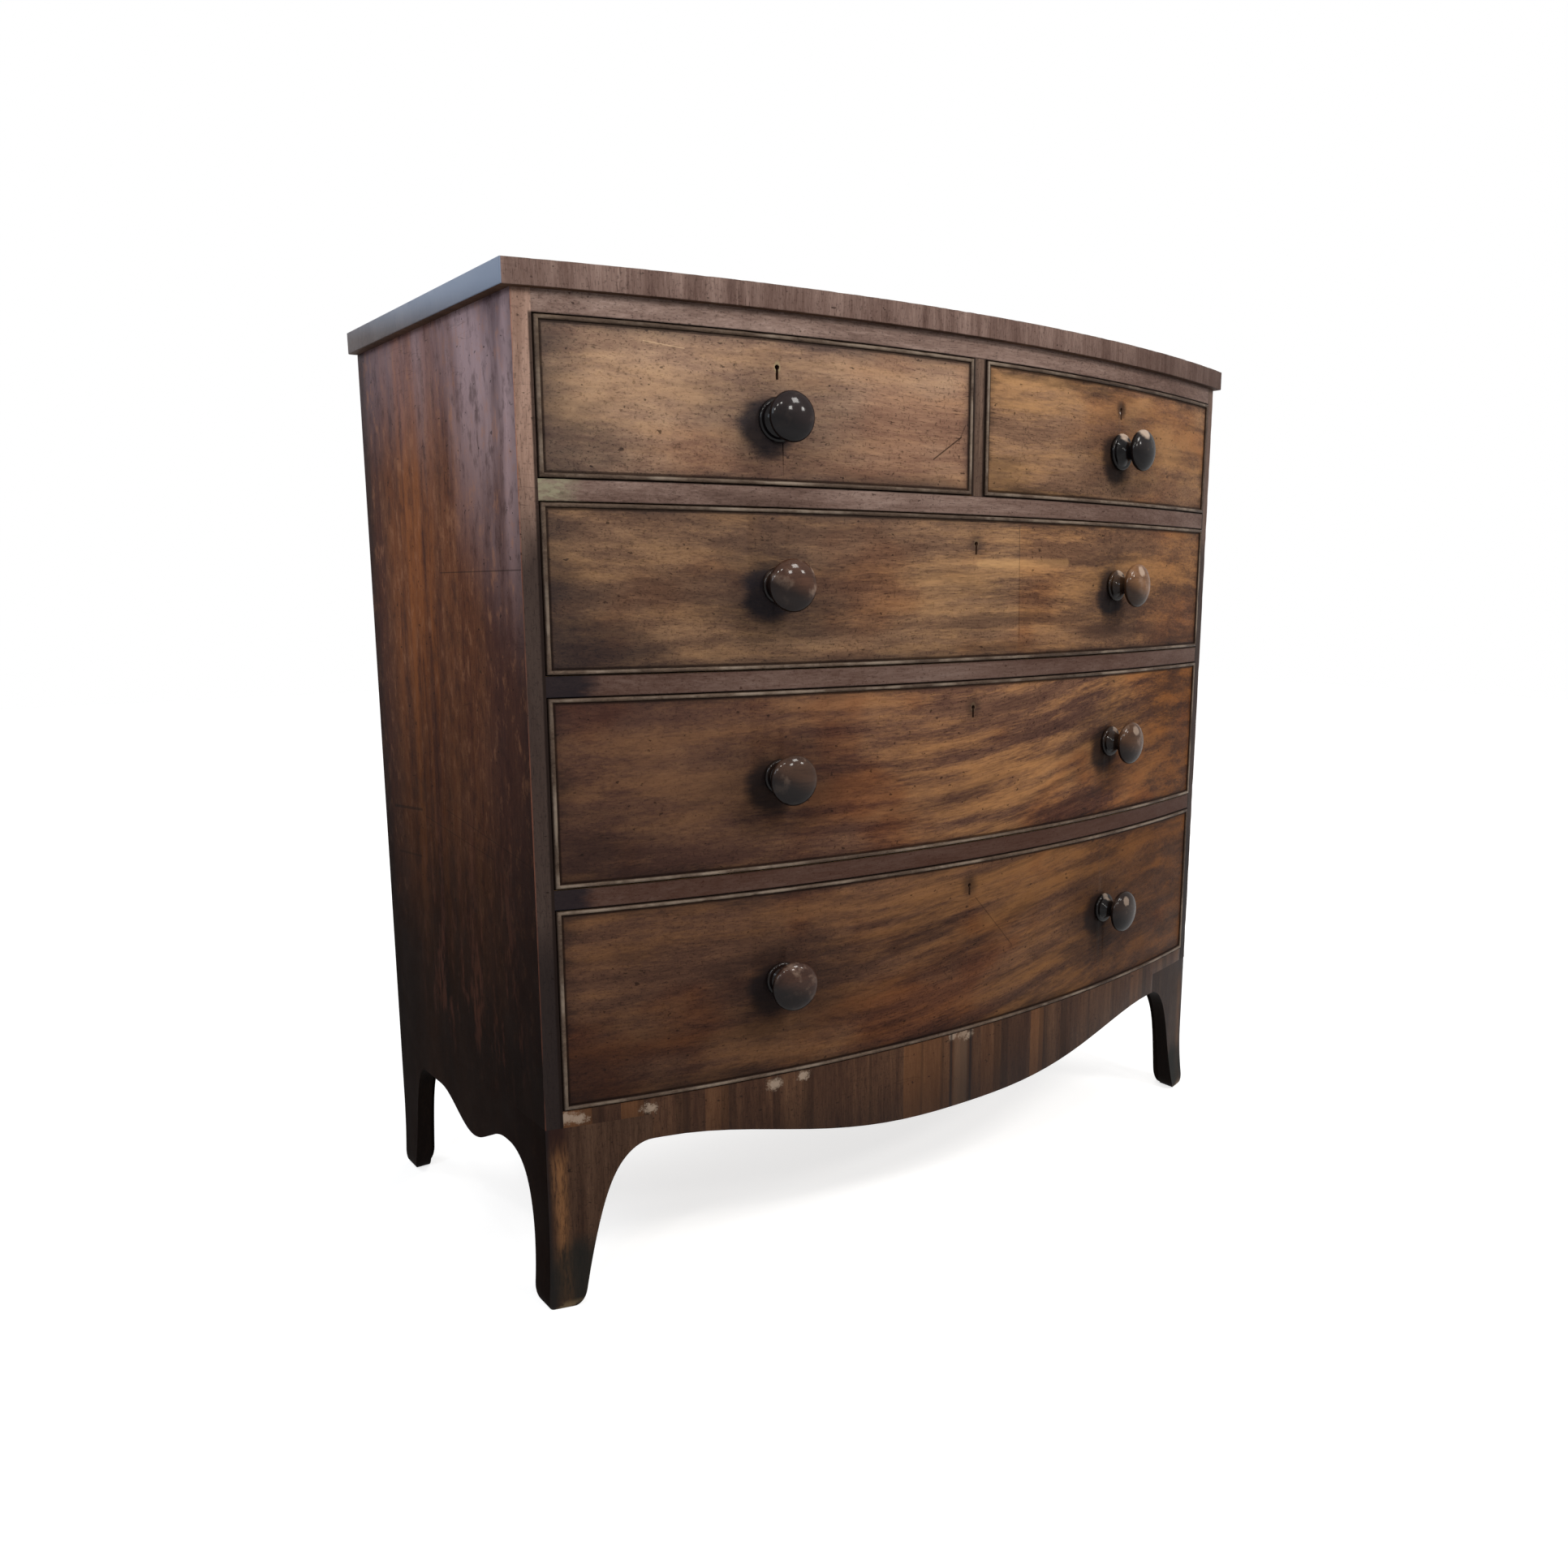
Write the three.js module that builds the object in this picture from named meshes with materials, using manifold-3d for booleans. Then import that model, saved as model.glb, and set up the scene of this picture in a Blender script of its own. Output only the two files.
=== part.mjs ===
// Bow front chest of drawers: two short drawers over three long graduated drawers, on splayed bracket feet.
// Millimetres, +Z up, the bowed front towards -Y. Depths are laid out from the front corners of the carcase.
import * as THREE from "three";
import { mergeVertices } from "three/addons/utils/BufferGeometryUtils.js";
import Module from "manifold-3d";

const wasm = await Module();
wasm.setup();

// Carcase
const carcassWidth = 1040;
const carcassDepth = 446;
const bowRise = 76;
const sideThickness = 18;
const bottomThickness = 18;
const topRailHeight = 21;
const railHeight = 20.5;
const railDepth = 62;
const dustBoardThickness = 9;
const tongueDepth = 6;
const tongueSetback = 24;
const backThickness = 10;
const backRebate = 8;
const backGroove = 2;
const backBoards = 5;
const muntinWidth = 18;
const guideHeight = 20;
const stopHeight = 5;
const stopLength = 44;
const stopDepth = 32;
const shortStopShares = [0.22, 0.78];
const longStopShares = [0.38, 0.62];

// Top board
const topThickness = 24;
const topSideOverhang = 11;
const topFrontOverhang = 8;

// Clear heights of the drawer openings
const bottomOpening = 214;
const thirdOpening = 193;
const secondOpening = 166;
const upperOpening = 149;

// Apron: its depth below the carcase, and the line of its shaped lower edge
const apronThickness = 20;
const frontArchDrop = 27.5;
const sideArchDrop = 46;
const apronDrop = 47.5;
const apronFlat = 11;
const apronCurvePower = 1.4;
const sideLobeDrop = 31;
const sideLobeHalf = 98;
const sideLobeOffset = 18;

// Bracket feet: each face grows from its toe by a straight taper and a sweep into the arch
const bracketHeight = 201.5;
const frontFace = { toe: 30, taper: 40, sweep: 39 };
const frontSideFace = { toe: 32, taper: 12, sweep: 54 };
const rearSideFace = { toe: 36, taper: 26, sweep: 25 };
const rearFace = { toe: 29, taper: 7, sweep: 40 };
const sweepPower = 6;
const frontSplay = 6;
const rearSplay = 3;
const splayHeight = 90;
const toeRoundHeight = 18;
const toeRoundInside = 10;
const toeRoundOutside = 6;
const cornerFillShare = 0.55;
const toeLevelShares = [0, 0.22, 0.55, 1];
const footLevelShares = [0.16, 0.3, 0.5, 0.7, 0.84, 0.92, 0.97, 1];

// Drawer fronts and their cockbead
const sideClearance = 1.3;
const edgeClearance = 1.2;
const frontThickness = 22;
const beadWidth = 4.5;
const beadDepth = 6;
const beadProud = 2.4;
const beadTipSteps = 3;

// Drawer boxes
const runningGap = 0.3;
const drawerSideThickness = 10;
const drawerSideDrop = 6;
const drawerBackThickness = 9;
const drawerBackDrop = 5;
const drawerBackSpace = 14;
const panelThickness = 7;
const panelHeight = 9;
const grooveDepth = 5;
const lapCover = 3;
const tailPitch = 44;
const tailMargin = 10;
const tailWidthShare = 0.7;
const tailSlope = 1 / 6;

// Turned knobs: radius and distance from the drawer face
const stemRadius = 6;
const stemLength = 17;
const roseThickness = 6;
const neckRadius = 10;
const collarRadius = 14;
const headBack = 26;
const headRim = 33;
const headFront = 43;
const shortKnob = { roseRadius: 22.5, headRadius: 25 };
const longKnob = { roseRadius: 19.5, headRadius: 27 };
const knobSpread = 262;
const longKnobRise = 4;
const shortKnobDrop = 9;
const knobSides = 16;
const roseSteps = 2;
const headBackSteps = 2;
const domeSteps = 3;

// Locks: a case on the back of each front, and a bolt that shoots up into the rail above
const caseWidth = 62;
const caseHeight = 46;
const caseDepth = 14;
const caseInset = 0.5;
const boltWidth = 22;
const boltHeight = 30;
const boltThickness = 5;
const boltDepth = 25;
const boltInset = 1;
const boltTravel = 9;
const keyholeDrop = 31;
const keyholeRadius = 2.6;
const keySlotWidth = 2.8;
const keySlotLength = 12;
const keyholeDepth = 16;
const keyholeSteps = 8;

// Fits, and the length of one facet along the bow and along a shaped edge
const seatGap = 0.3;
const overrun = 2;
const bowStep = 52;
const edgeStep = 25;
const footFaceSteps = 3;
const weld = 1e-4;

// Sizes that follow from those above
const halfWidth = carcassWidth / 2;
const innerHalf = halfWidth - sideThickness;
const bowRadius = (halfWidth ** 2 + bowRise ** 2) / (2 * bowRise);
const bowCentre = bowRadius - bowRise;
const backInner = carcassDepth - backThickness;
const drawerRear = backInner - drawerBackSpace;
const muntinHalf = muntinWidth / 2;
const lapDepth = beadDepth + lapCover;
const frontArch = bracketHeight - frontArchDrop;
const sideArch = bracketHeight - sideArchDrop;
const reachOf = (face) => face.toe + face.taper + face.sweep;
const frontReach = reachOf(frontFace);
const bottomFloor = bracketHeight + bottomThickness;
const thirdFloor = bottomFloor + bottomOpening + railHeight;
const secondFloor = thirdFloor + thirdOpening + railHeight;
const upperFloor = secondFloor + secondOpening + railHeight;
const carcassTop = upperFloor + upperOpening + topRailHeight;

// Materials
const wood = (color, roughness) => new THREE.MeshStandardMaterial({ color, roughness, metalness: 0 });
const frontWood = wood(0x6b4023, 0.42);
const carcassWood = wood(0x55281a, 0.46);
const beadWood = wood(0x5a4636, 0.4);
const knobWood = wood(0x2e1a12, 0.25);
const liningWood = wood(0xa27a4c, 0.75);
const iron = new THREE.MeshStandardMaterial({ color: 0x4d4a46, roughness: 0.5, metalness: 0.9 });

const chest = new THREE.Group();
chest.name = "bow_front_chest";

// Solids and meshes
function toSolid(geometry) {
  const bare = geometry.clone();
  bare.deleteAttribute("normal");
  bare.deleteAttribute("uv");
  const merged = mergeVertices(bare, weld);
  const index = merged.index.array;
  const kept = [];
  for (let i = 0; i < index.length; i += 3) {
    const [a, b, c] = [index[i], index[i + 1], index[i + 2]];
    if (a !== b && b !== c && c !== a) kept.push(a, b, c);
  }
  const build = (triangles) => new wasm.Manifold(new wasm.Mesh({
    numProp: 3,
    vertProperties: merged.attributes.position.array,
    triVerts: new Uint32Array(triangles),
  }));
  const solid = build(kept);
  return solid.volume() > 0 ? solid : build(kept.reverse());
}

function toGeometry(solid) {
  const mesh = solid.getMesh();
  return new THREE.BufferGeometry()
    .setAttribute("position", new THREE.BufferAttribute(mesh.vertProperties, 3))
    .setIndex(new THREE.BufferAttribute(mesh.triVerts, 1));
}

function addPiece(parent, name, solid, material) {
  const mesh = new THREE.Mesh(toGeometry(solid), material);
  mesh.name = name;
  parent.add(mesh);
  return mesh;
}

function addPair(name, solid, material) {
  addPiece(chest, "left_" + name, solid, material);
  addPiece(chest, "right_" + name, solid, material).scale.x = -1;
}

// Outlines drawn in plan, from the side and from the front, and pushed straight through
function extrude(points, length) {
  const shape = new THREE.Shape(points.map(([u, v]) => new THREE.Vector2(u, v)));
  return new THREE.ExtrudeGeometry(shape, { depth: length, bevelEnabled: false, steps: 1 });
}

function planPrism(points, low, high) {
  return toSolid(extrude(points, high - low).translate(0, 0, low));
}

function sidePrism(points, left, right) {
  const basis = new THREE.Matrix4().makeBasis(
    new THREE.Vector3(0, 1, 0), new THREE.Vector3(0, 0, 1), new THREE.Vector3(1, 0, 0));
  return toSolid(extrude(points, right - left).applyMatrix4(basis).translate(left, 0, 0));
}

function frontPrism(points, front, back) {
  const basis = new THREE.Matrix4().makeBasis(
    new THREE.Vector3(1, 0, 0), new THREE.Vector3(0, 0, 1), new THREE.Vector3(0, -1, 0));
  return toSolid(extrude(points, back - front).applyMatrix4(basis).translate(0, back, 0));
}

function block(left, right, front, back, low, high) {
  const box = new THREE.BoxGeometry(right - left, back - front, high - low);
  return toSolid(box.translate((left + right) / 2, (front + back) / 2, (low + high) / 2));
}

// A skin over rows of points, each a closed loop; a ring joins its last row to its first, a stack is capped
function skin(rows, ringed) {
  const count = rows[0].length;
  const spans = ringed ? rows.length : rows.length - 1;
  const triangles = [];
  for (let row = 0; row < spans; row++) {
    const next = (row + 1) % rows.length;
    for (let point = 0; point < count; point++) {
      const after = (point + 1) % count;
      triangles.push(row * count + point, row * count + after, next * count + after);
      triangles.push(row * count + point, next * count + after, next * count + point);
    }
  }
  if (!ringed) {
    const top = (rows.length - 1) * count;
    const flat = (row) => row.map((p) => new THREE.Vector2(p.x, p.y));
    for (const [a, b, c] of THREE.ShapeUtils.triangulateShape(flat(rows[0]), [])) triangles.push(c, b, a);
    for (const [a, b, c] of THREE.ShapeUtils.triangulateShape(flat(rows.at(-1)), [])) {
      triangles.push(top + a, top + b, top + c);
    }
  }
  return toSolid(new THREE.BufferGeometry().setFromPoints(rows.flat()).setIndex(triangles));
}

// The bow: one circle for every show face, with insets measured back from it
const bowY = (x, inset) => bowCentre - Math.sqrt((bowRadius - inset) ** 2 - x ** 2);
const bowAngle = (x) => Math.asin(x / bowRadius);
const bowLine = (stations, inset) => stations.map((x) => [x, bowY(x, inset)]);

function bowStations(left, right) {
  const steps = Math.ceil((right - left) / bowStep);
  return Array.from({ length: steps + 1 }, (_, step) => left + ((right - left) * step) / steps);
}

function bowBoard(left, right, insetFront, insetBack, low, high) {
  const stations = bowStations(left, right);
  return planPrism([...bowLine(stations, insetFront), ...bowLine(stations, insetBack).reverse()], low, high);
}

function bowShelf(left, right, insetFront, back, low, high) {
  const front = bowLine(bowStations(left, right), insetFront);
  return planPrism([...front, [right, back], [left, back]], low, high);
}

// Puts a solid made at the origin, its face towards -Y, onto the bowed face at x
function ontoBow(solid, x, z) {
  const turned = solid.rotate([0, 0, THREE.MathUtils.radToDeg(bowAngle(x))]);
  return turned.translate([x, bowY(x, 0), z]);
}

function seatOnBow(mesh, x, z) {
  mesh.position.set(x, bowY(x, 0), z);
  mesh.rotation.z = bowAngle(x);
}

// Carcase sides, housed for the dust boards and rebated for the back
function carcassSide(shelfTops) {
  const outline = [
    [-halfWidth, 0], [-innerHalf, bowY(innerHalf, 0)], [-innerHalf, backInner],
    [-innerHalf - backRebate, backInner], [-innerHalf - backRebate, carcassDepth], [-halfWidth, carcassDepth],
  ];
  let side = planPrism(outline, bracketHeight, carcassTop);
  for (const top of shelfTops) {
    const [low, high] = [top - dustBoardThickness - seatGap, top + seatGap];
    side = side.subtract(block(-innerHalf - tongueDepth, -innerHalf + overrun, tongueSetback - seatGap,
      backInner, low, high));
  }
  return side;
}

// A shelf with a tongue at each end
function tongued(top, back) {
  const reach = innerHalf + tongueDepth - seatGap;
  return block(-reach, reach, tongueSetback, back, top - dustBoardThickness, top);
}

function mortised(rail, lockPlaces, low) {
  const half = boltWidth / 2 + seatGap;
  for (const x of lockPlaces) {
    const mortise = block(-half, half, boltDepth - seatGap, boltDepth + boltThickness + seatGap,
      -overrun, boltTravel);
    rail = rail.subtract(ontoBow(mortise, x, low));
  }
  return rail;
}

function withStops(board, spans, shares, top) {
  for (const [left, right] of spans) {
    for (const share of shares) {
      const x = left + (right - left) * share;
      const ends = [x - stopLength / 2, x + stopLength / 2];
      const front = Math.max(...ends.map((end) => bowY(end, frontThickness))) + seatGap;
      board = board.add(block(...ends, front, front + stopDepth, top - overrun, top + stopHeight));
    }
  }
  return board;
}

// A rail with the dust board behind it, the stops of the drawers above and a mortise for the lock below
function divider(top, spans, stopShares) {
  const rail = bowShelf(-innerHalf, innerHalf, 0, railDepth, top - railHeight, top);
  const board = tongued(top, backInner - seatGap);
  return withStops(mortised(rail.add(board), [0], top - railHeight), spans, stopShares, top);
}

// Back of upright boards with a shallow groove at each joint
function backPanel() {
  const half = innerHalf + backRebate - seatGap;
  const outline = [[-half, backInner], [half, backInner], [half, carcassDepth]];
  for (let joint = backBoards - 1; joint > 0; joint--) {
    const x = -half + (2 * half * joint) / backBoards;
    outline.push([x + backGroove, carcassDepth], [x, carcassDepth - backGroove],
      [x - backGroove, carcassDepth]);
  }
  outline.push([-half, carcassDepth]);
  return planPrism(outline, bracketHeight, carcassTop);
}

function muntin() {
  const post = bowShelf(-muntinHalf, muntinHalf, 0, railDepth, upperFloor, upperFloor + upperOpening);
  const guide = block(-muntinHalf, muntinHalf, railDepth - overrun, backInner - seatGap,
    upperFloor, upperFloor + guideHeight);
  return post.add(guide);
}

// Apron with a serpentine lower edge that hangs lowest in the middle
function frontApron() {
  const span = halfWidth - frontReach - apronFlat;
  const steps = Math.ceil((2 * span) / edgeStep);
  const outline = [
    [-innerHalf, bottomFloor], [-innerHalf, bracketHeight], [frontReach - halfWidth, bracketHeight],
    [frontReach - halfWidth, frontArch],
  ];
  for (let step = 0; step <= steps; step++) {
    const share = (2 * step) / steps - 1;
    const swing = (1 + Math.cos(Math.PI * Math.abs(share) ** apronCurvePower)) / 2;
    outline.push([span * share, frontArch - apronDrop * swing]);
  }
  outline.push([halfWidth - frontReach, frontArch], [halfWidth - frontReach, bracketHeight],
    [innerHalf, bracketHeight], [innerHalf, bottomFloor]);
  const through = frontPrism(outline, -bowRise - overrun, apronThickness);
  return through.intersect(bowBoard(-innerHalf, innerHalf, 0, apronThickness, 0, bottomFloor));
}

// Side apron between the feet, with one lobe
function sideApron() {
  const front = reachOf(frontSideFace);
  const back = carcassDepth - reachOf(rearSideFace);
  const centre = carcassDepth / 2 - sideLobeOffset;
  const steps = Math.ceil((2 * sideLobeHalf) / edgeStep);
  const outline = [[back, sideArch], [back, bracketHeight], [front, bracketHeight], [front, sideArch]];
  for (let step = 0; step <= steps; step++) {
    const share = (2 * step) / steps - 1;
    const drop = (sideLobeDrop * (1 + Math.cos(Math.PI * share))) / 2;
    outline.push([centre + sideLobeHalf * share, sideArch - drop]);
  }
  return sidePrism(outline, -halfWidth, -innerHalf);
}

// How far a worn toe is rounded away at height z
function toeRound(z, depth) {
  const share = Math.min(z / toeRoundHeight, 1);
  return depth * (1 - Math.sqrt(1 - (1 - share) ** 2));
}

// Width of one face of a bracket foot at height z
function footWidth(z, arch, face) {
  const share = Math.min(z / arch, 1);
  const swept = face.sweep * (1 - Math.sqrt(1 - share ** sweepPower));
  return face.toe + face.taper * share + swept - toeRound(z, toeRoundInside);
}

// How far a show face stands out from the carcase at height z
function footProud(z, splay) {
  return splay * Math.max(1 - z / splayHeight, 0) ** 2 - toeRound(z, toeRoundOutside);
}

function footLevels(arches) {
  const toes = toeLevelShares.map((share) => share * toeRoundHeight);
  const levels = arches.flatMap((arch) => footLevelShares.map((share) => share * arch));
  return [...new Set([...toes, ...levels, bracketHeight])].sort((a, b) => a - b);
}

// Front foot: an L in plan whose front leg follows the bow, with a glue block in the corner
function frontFoot() {
  const rows = footLevels([sideArch, frontArch]).map((z) => {
    const proud = footProud(z, frontSplay);
    const inner = footWidth(z, frontArch, frontFace) - halfWidth;
    const back = footWidth(z, sideArch, frontSideFace);
    const outer = -halfWidth - proud;
    const innerCorner = bowY(innerHalf, apronThickness);
    const fillX = (inner + innerHalf) * cornerFillShare;
    const fillY = (back - innerCorner) * cornerFillShare;
    const face = Array.from({ length: footFaceSteps + 1 },
      (_, step) => outer + ((inner - outer) * step) / footFaceSteps);
    const outline = [
      ...bowLine(face, -proud), [inner, bowY(inner, apronThickness)],
      [fillX - innerHalf, bowY(fillX - innerHalf, apronThickness)],
      [-innerHalf, innerCorner + Math.min(fillX, fillY)], [-innerHalf, back], [outer, back],
    ];
    return outline.map(([x, y]) => new THREE.Vector3(x, y, z));
  });
  return skin(rows, false);
}

// Rear foot: a side bracket and a narrower bracket across the back
function rearFoot() {
  const rows = footLevels([sideArch]).map((z) => {
    const outer = -halfWidth - footProud(z, rearSplay);
    const inner = footWidth(z, sideArch, rearFace) - halfWidth;
    const front = carcassDepth - footWidth(z, sideArch, rearSideFace);
    const innerCorner = carcassDepth - sideThickness;
    const fill = Math.min(inner + innerHalf, innerCorner - front) * cornerFillShare;
    const outline = [
      [outer, front], [-innerHalf, front], [-innerHalf, innerCorner - fill],
      [fill - innerHalf, innerCorner], [inner, innerCorner], [inner, carcassDepth], [outer, carcassDepth],
    ];
    return outline.map(([x, y]) => new THREE.Vector3(x, y, z));
  });
  return skin(rows, false);
}

// Drawer box: heights are measured from the floor of its opening
function drawerSizes(left, right, opening) {
  return {
    left: left + sideClearance,
    right: right - sideClearance,
    bottom: edgeClearance,
    top: opening - edgeClearance,
    sideBottom: runningGap,
    sideTop: opening - drawerSideDrop,
    backTop: opening - drawerSideDrop - drawerBackDrop,
    grooveLow: panelHeight,
    grooveHigh: panelHeight + panelThickness + seatGap,
    rear: drawerRear,
    shoulder: drawerRear - drawerBackThickness,
  };
}

// Tails of one corner: trapezia from their tips back to their roots, grown by a clearance for the sockets
function tailOutlines(tip, root, low, high, clearance) {
  const count = Math.max(2, Math.round((high - low) / tailPitch));
  const pitch = (high - low) / count;
  const tipHalf = (pitch * tailWidthShare) / 2;
  const rootHalf = tipHalf - Math.abs(root - tip) * tailSlope;
  const reach = tip - Math.sign(root - tip) * clearance;
  return Array.from({ length: count }, (_, tail) => {
    const middle = low + pitch * (tail + 0.5);
    return [
      [reach, middle - tipHalf - clearance], [root, middle - rootHalf - clearance],
      [root, middle + rootHalf + clearance], [reach, middle + tipHalf + clearance],
    ];
  });
}

function frontTails(size, left, right, clearance) {
  const tip = Math.max(bowY(left, lapDepth), bowY(right, lapDepth));
  const root = Math.max(bowY(left, frontThickness), bowY(right, frontThickness)) + overrun;
  return tailOutlines(tip, root, size.grooveHigh, size.sideTop - tailMargin, clearance);
}

function rearTails(size, clearance) {
  return tailOutlines(size.rear, size.shoulder, size.grooveHigh + tailMargin, size.backTop, clearance);
}

function drawerSide(size, left, right, innerX) {
  const tip = Math.max(bowY(left, lapDepth), bowY(right, lapDepth));
  let side = block(left, right, tip, size.shoulder, size.sideBottom, size.sideTop);
  side = side.add(block(left, right, size.shoulder - overrun, size.rear, size.sideBottom, size.grooveHigh));
  side = side.subtract(bowBoard(left - overrun, right + overrun, -overrun, frontThickness + seatGap,
    size.sideBottom - overrun, size.sideTop + overrun));
  for (const tail of [...frontTails(size, left, right, 0), ...rearTails(size, 0)]) {
    side = side.add(sidePrism(tail, left, right));
  }
  return side.subtract(block(innerX - grooveDepth, innerX + grooveDepth, tip - overrun, size.rear + overrun,
    size.grooveLow, size.grooveHigh));
}

function drawerBack(size) {
  const leftInner = size.left + drawerSideThickness;
  const rightInner = size.right - drawerSideThickness;
  let back = block(size.left, size.right, size.shoulder, size.rear, size.grooveHigh, size.backTop);
  for (const tail of rearTails(size, seatGap)) {
    const ends = [size.shoulder - overrun, size.rear + overrun];
    const through = tail.map(([y, z]) => [ends[Number(y > size.shoulder)], z]);
    back = back.subtract(sidePrism(through, size.left - overrun, leftInner + seatGap));
    back = back.subtract(sidePrism(through, rightInner - seatGap, size.right + overrun));
  }
  return back;
}

function drawerBottom(size) {
  const reach = drawerSideThickness - grooveDepth + seatGap;
  return bowShelf(size.left + reach, size.right - reach, frontThickness - grooveDepth + seatGap, size.rear,
    size.grooveLow, size.grooveLow + panelThickness);
}

// Cockbead: a round-nosed strip carried round the front as one mitred frame
function cockbead(size) {
  const radius = beadWidth / 2;
  const back = -beadDepth + seatGap;
  const section = [[0, back], [beadWidth, back]];
  for (let step = 0; step <= beadTipSteps; step++) {
    const turn = (Math.PI * step) / beadTipSteps;
    section.push([radius + radius * Math.cos(turn), beadProud - radius + radius * Math.sin(turn)]);
  }
  const rows = section.map(([across, proud]) => {
    const width = size.right - size.left - 2 * across;
    const steps = Math.ceil((size.right - size.left) / bowStep);
    const stations = Array.from({ length: steps + 1 },
      (_, step) => size.left + across + (width * step) / steps);
    const at = (z) => (x) => new THREE.Vector3(x, bowY(x, -proud), z);
    return [...stations.map(at(size.bottom + across)), ...stations.toReversed().map(at(size.top - across))];
  });
  return skin(rows, true);
}

function rebatedFront(size) {
  const stations = bowStations(size.left + beadWidth, size.right - beadWidth);
  const ends = [size.left, ...stations, size.right];
  const inside = bowLine(ends, frontThickness).reverse();
  const core = planPrism([...bowLine(ends, beadDepth), ...inside], size.bottom, size.top);
  const face = [
    ...bowLine([size.left, stations[0]], beadDepth), ...bowLine(stations, 0),
    ...bowLine([stations.at(-1), size.right], beadDepth), ...inside,
  ];
  return core.add(planPrism(face, size.bottom + beadWidth, size.top - beadWidth));
}

// Points round an arc of an ellipse, given by its centre, its two half axes and its first and last angles
function arc(centre, halves, first, last, steps) {
  return Array.from({ length: steps + 1 }, (_, step) => {
    const turn = first + ((last - first) * step) / steps;
    return [centre[0] + halves[0] * Math.cos(turn), centre[1] + halves[1] * Math.sin(turn)];
  });
}

function keyhole() {
  const neck = Math.asin(keySlotWidth / 2 / keyholeRadius);
  const [first, last] = [neck - Math.PI / 2, 1.5 * Math.PI - neck];
  const round = arc([0, 0], [keyholeRadius, keyholeRadius], first, last, keyholeSteps);
  const slot = [[-keySlotWidth / 2, -keySlotLength], [keySlotWidth / 2, -keySlotLength]];
  return frontPrism([...slot, ...round], -overrun, keyholeDepth);
}

function knobHole() {
  const length = stemLength + seatGap + overrun;
  const hole = new THREE.CylinderGeometry(stemRadius + seatGap, stemRadius + seatGap, length, knobSides);
  return toSolid(hole.translate(0, overrun - length / 2, 0).rotateX(Math.PI));
}

function drawerFront(size, lockX, knobPlaces, knobZ) {
  let front = rebatedFront(size);
  const caseTop = size.top - caseInset;
  const lockCase = block(-caseWidth / 2, caseWidth / 2, frontThickness - overrun, frontThickness + caseDepth,
    -caseHeight, 0);
  const pocketHalf = boltWidth / 2 + seatGap;
  const pocket = block(-pocketHalf, pocketHalf, boltDepth - seatGap, boltDepth + boltThickness + seatGap,
    -boltInset - boltHeight - seatGap, overrun);
  front = front.add(ontoBow(lockCase, lockX, caseTop)).subtract(ontoBow(pocket, lockX, size.top));
  front = front.subtract(ontoBow(keyhole(), lockX, size.top - keyholeDrop));
  for (const x of knobPlaces) front = front.subtract(ontoBow(knobHole(), x, knobZ));
  const leftInner = size.left + drawerSideThickness;
  const rightInner = size.right - drawerSideThickness;
  for (const tail of frontTails(size, size.left, leftInner, seatGap)) {
    front = front.subtract(sidePrism(tail, size.left - overrun, leftInner + seatGap));
  }
  for (const tail of frontTails(size, rightInner, size.right, seatGap)) {
    front = front.subtract(sidePrism(tail, rightInner - seatGap, size.right + overrun));
  }
  const groove = bowBoard(leftInner - grooveDepth, rightInner + grooveDepth, frontThickness - grooveDepth,
    frontThickness + overrun, size.grooveLow, size.grooveHigh);
  return front.subtract(groove);
}

// Knob: stem, rounded rose, hollow neck and domed head, turned in one piece
function knob({ roseRadius, headRadius }) {
  const roseRound = roseThickness / 2;
  const quarter = Math.PI / 2;
  const profile = [
    [0, -stemLength], [stemRadius, -stemLength], [stemRadius, seatGap], [roseRadius, seatGap],
    ...arc([roseRadius - roseRound, roseRound], [roseRound, roseRound], 0, quarter, roseSteps),
    [neckRadius, (roseThickness + headBack) / 2],
    ...arc([collarRadius, headRim], [headRadius - collarRadius, headRim - headBack], -quarter, 0,
      headBackSteps),
    ...arc([0, headRim], [headRadius, headFront - headRim], 0, quarter, domeSteps).slice(1, -1),
    [0, headFront],
  ];
  const turned = new THREE.LatheGeometry(profile.map(([r, h]) => new THREE.Vector2(r, h)), knobSides);
  return toSolid(turned.rotateX(Math.PI));
}

function addDrawer(name, [left, right], floor, opening, lockX, knobPlaces, knobRise, pattern) {
  const group = new THREE.Group();
  group.name = name;
  group.position.z = floor;
  chest.add(group);
  const size = drawerSizes(left, right, opening);
  const knobZ = opening / 2 + knobRise;
  const leftInner = size.left + drawerSideThickness;
  const rightInner = size.right - drawerSideThickness;
  addPiece(group, name + "_front", drawerFront(size, lockX, knobPlaces, knobZ), frontWood);
  addPiece(group, name + "_cockbead", cockbead(size), beadWood);
  addPiece(group, name + "_left_side", drawerSide(size, size.left, leftInner, leftInner), liningWood);
  addPiece(group, name + "_right_side", drawerSide(size, rightInner, size.right, rightInner), liningWood);
  addPiece(group, name + "_back", drawerBack(size), liningWood);
  addPiece(group, name + "_bottom", drawerBottom(size), liningWood);
  const bolt = block(-boltWidth / 2, boltWidth / 2, boltDepth, boltDepth + boltThickness, -boltHeight, 0);
  seatOnBow(addPiece(group, name + "_lock_bolt", bolt, iron), lockX, size.top - boltInset);
  knobPlaces.forEach((x, place) => {
    const hand = knobPlaces.length === 1 ? "" : ["_left", "_right"][place];
    seatOnBow(addPiece(group, name + hand + "_knob", knob(pattern), knobWood), x, knobZ);
  });
}

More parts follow.
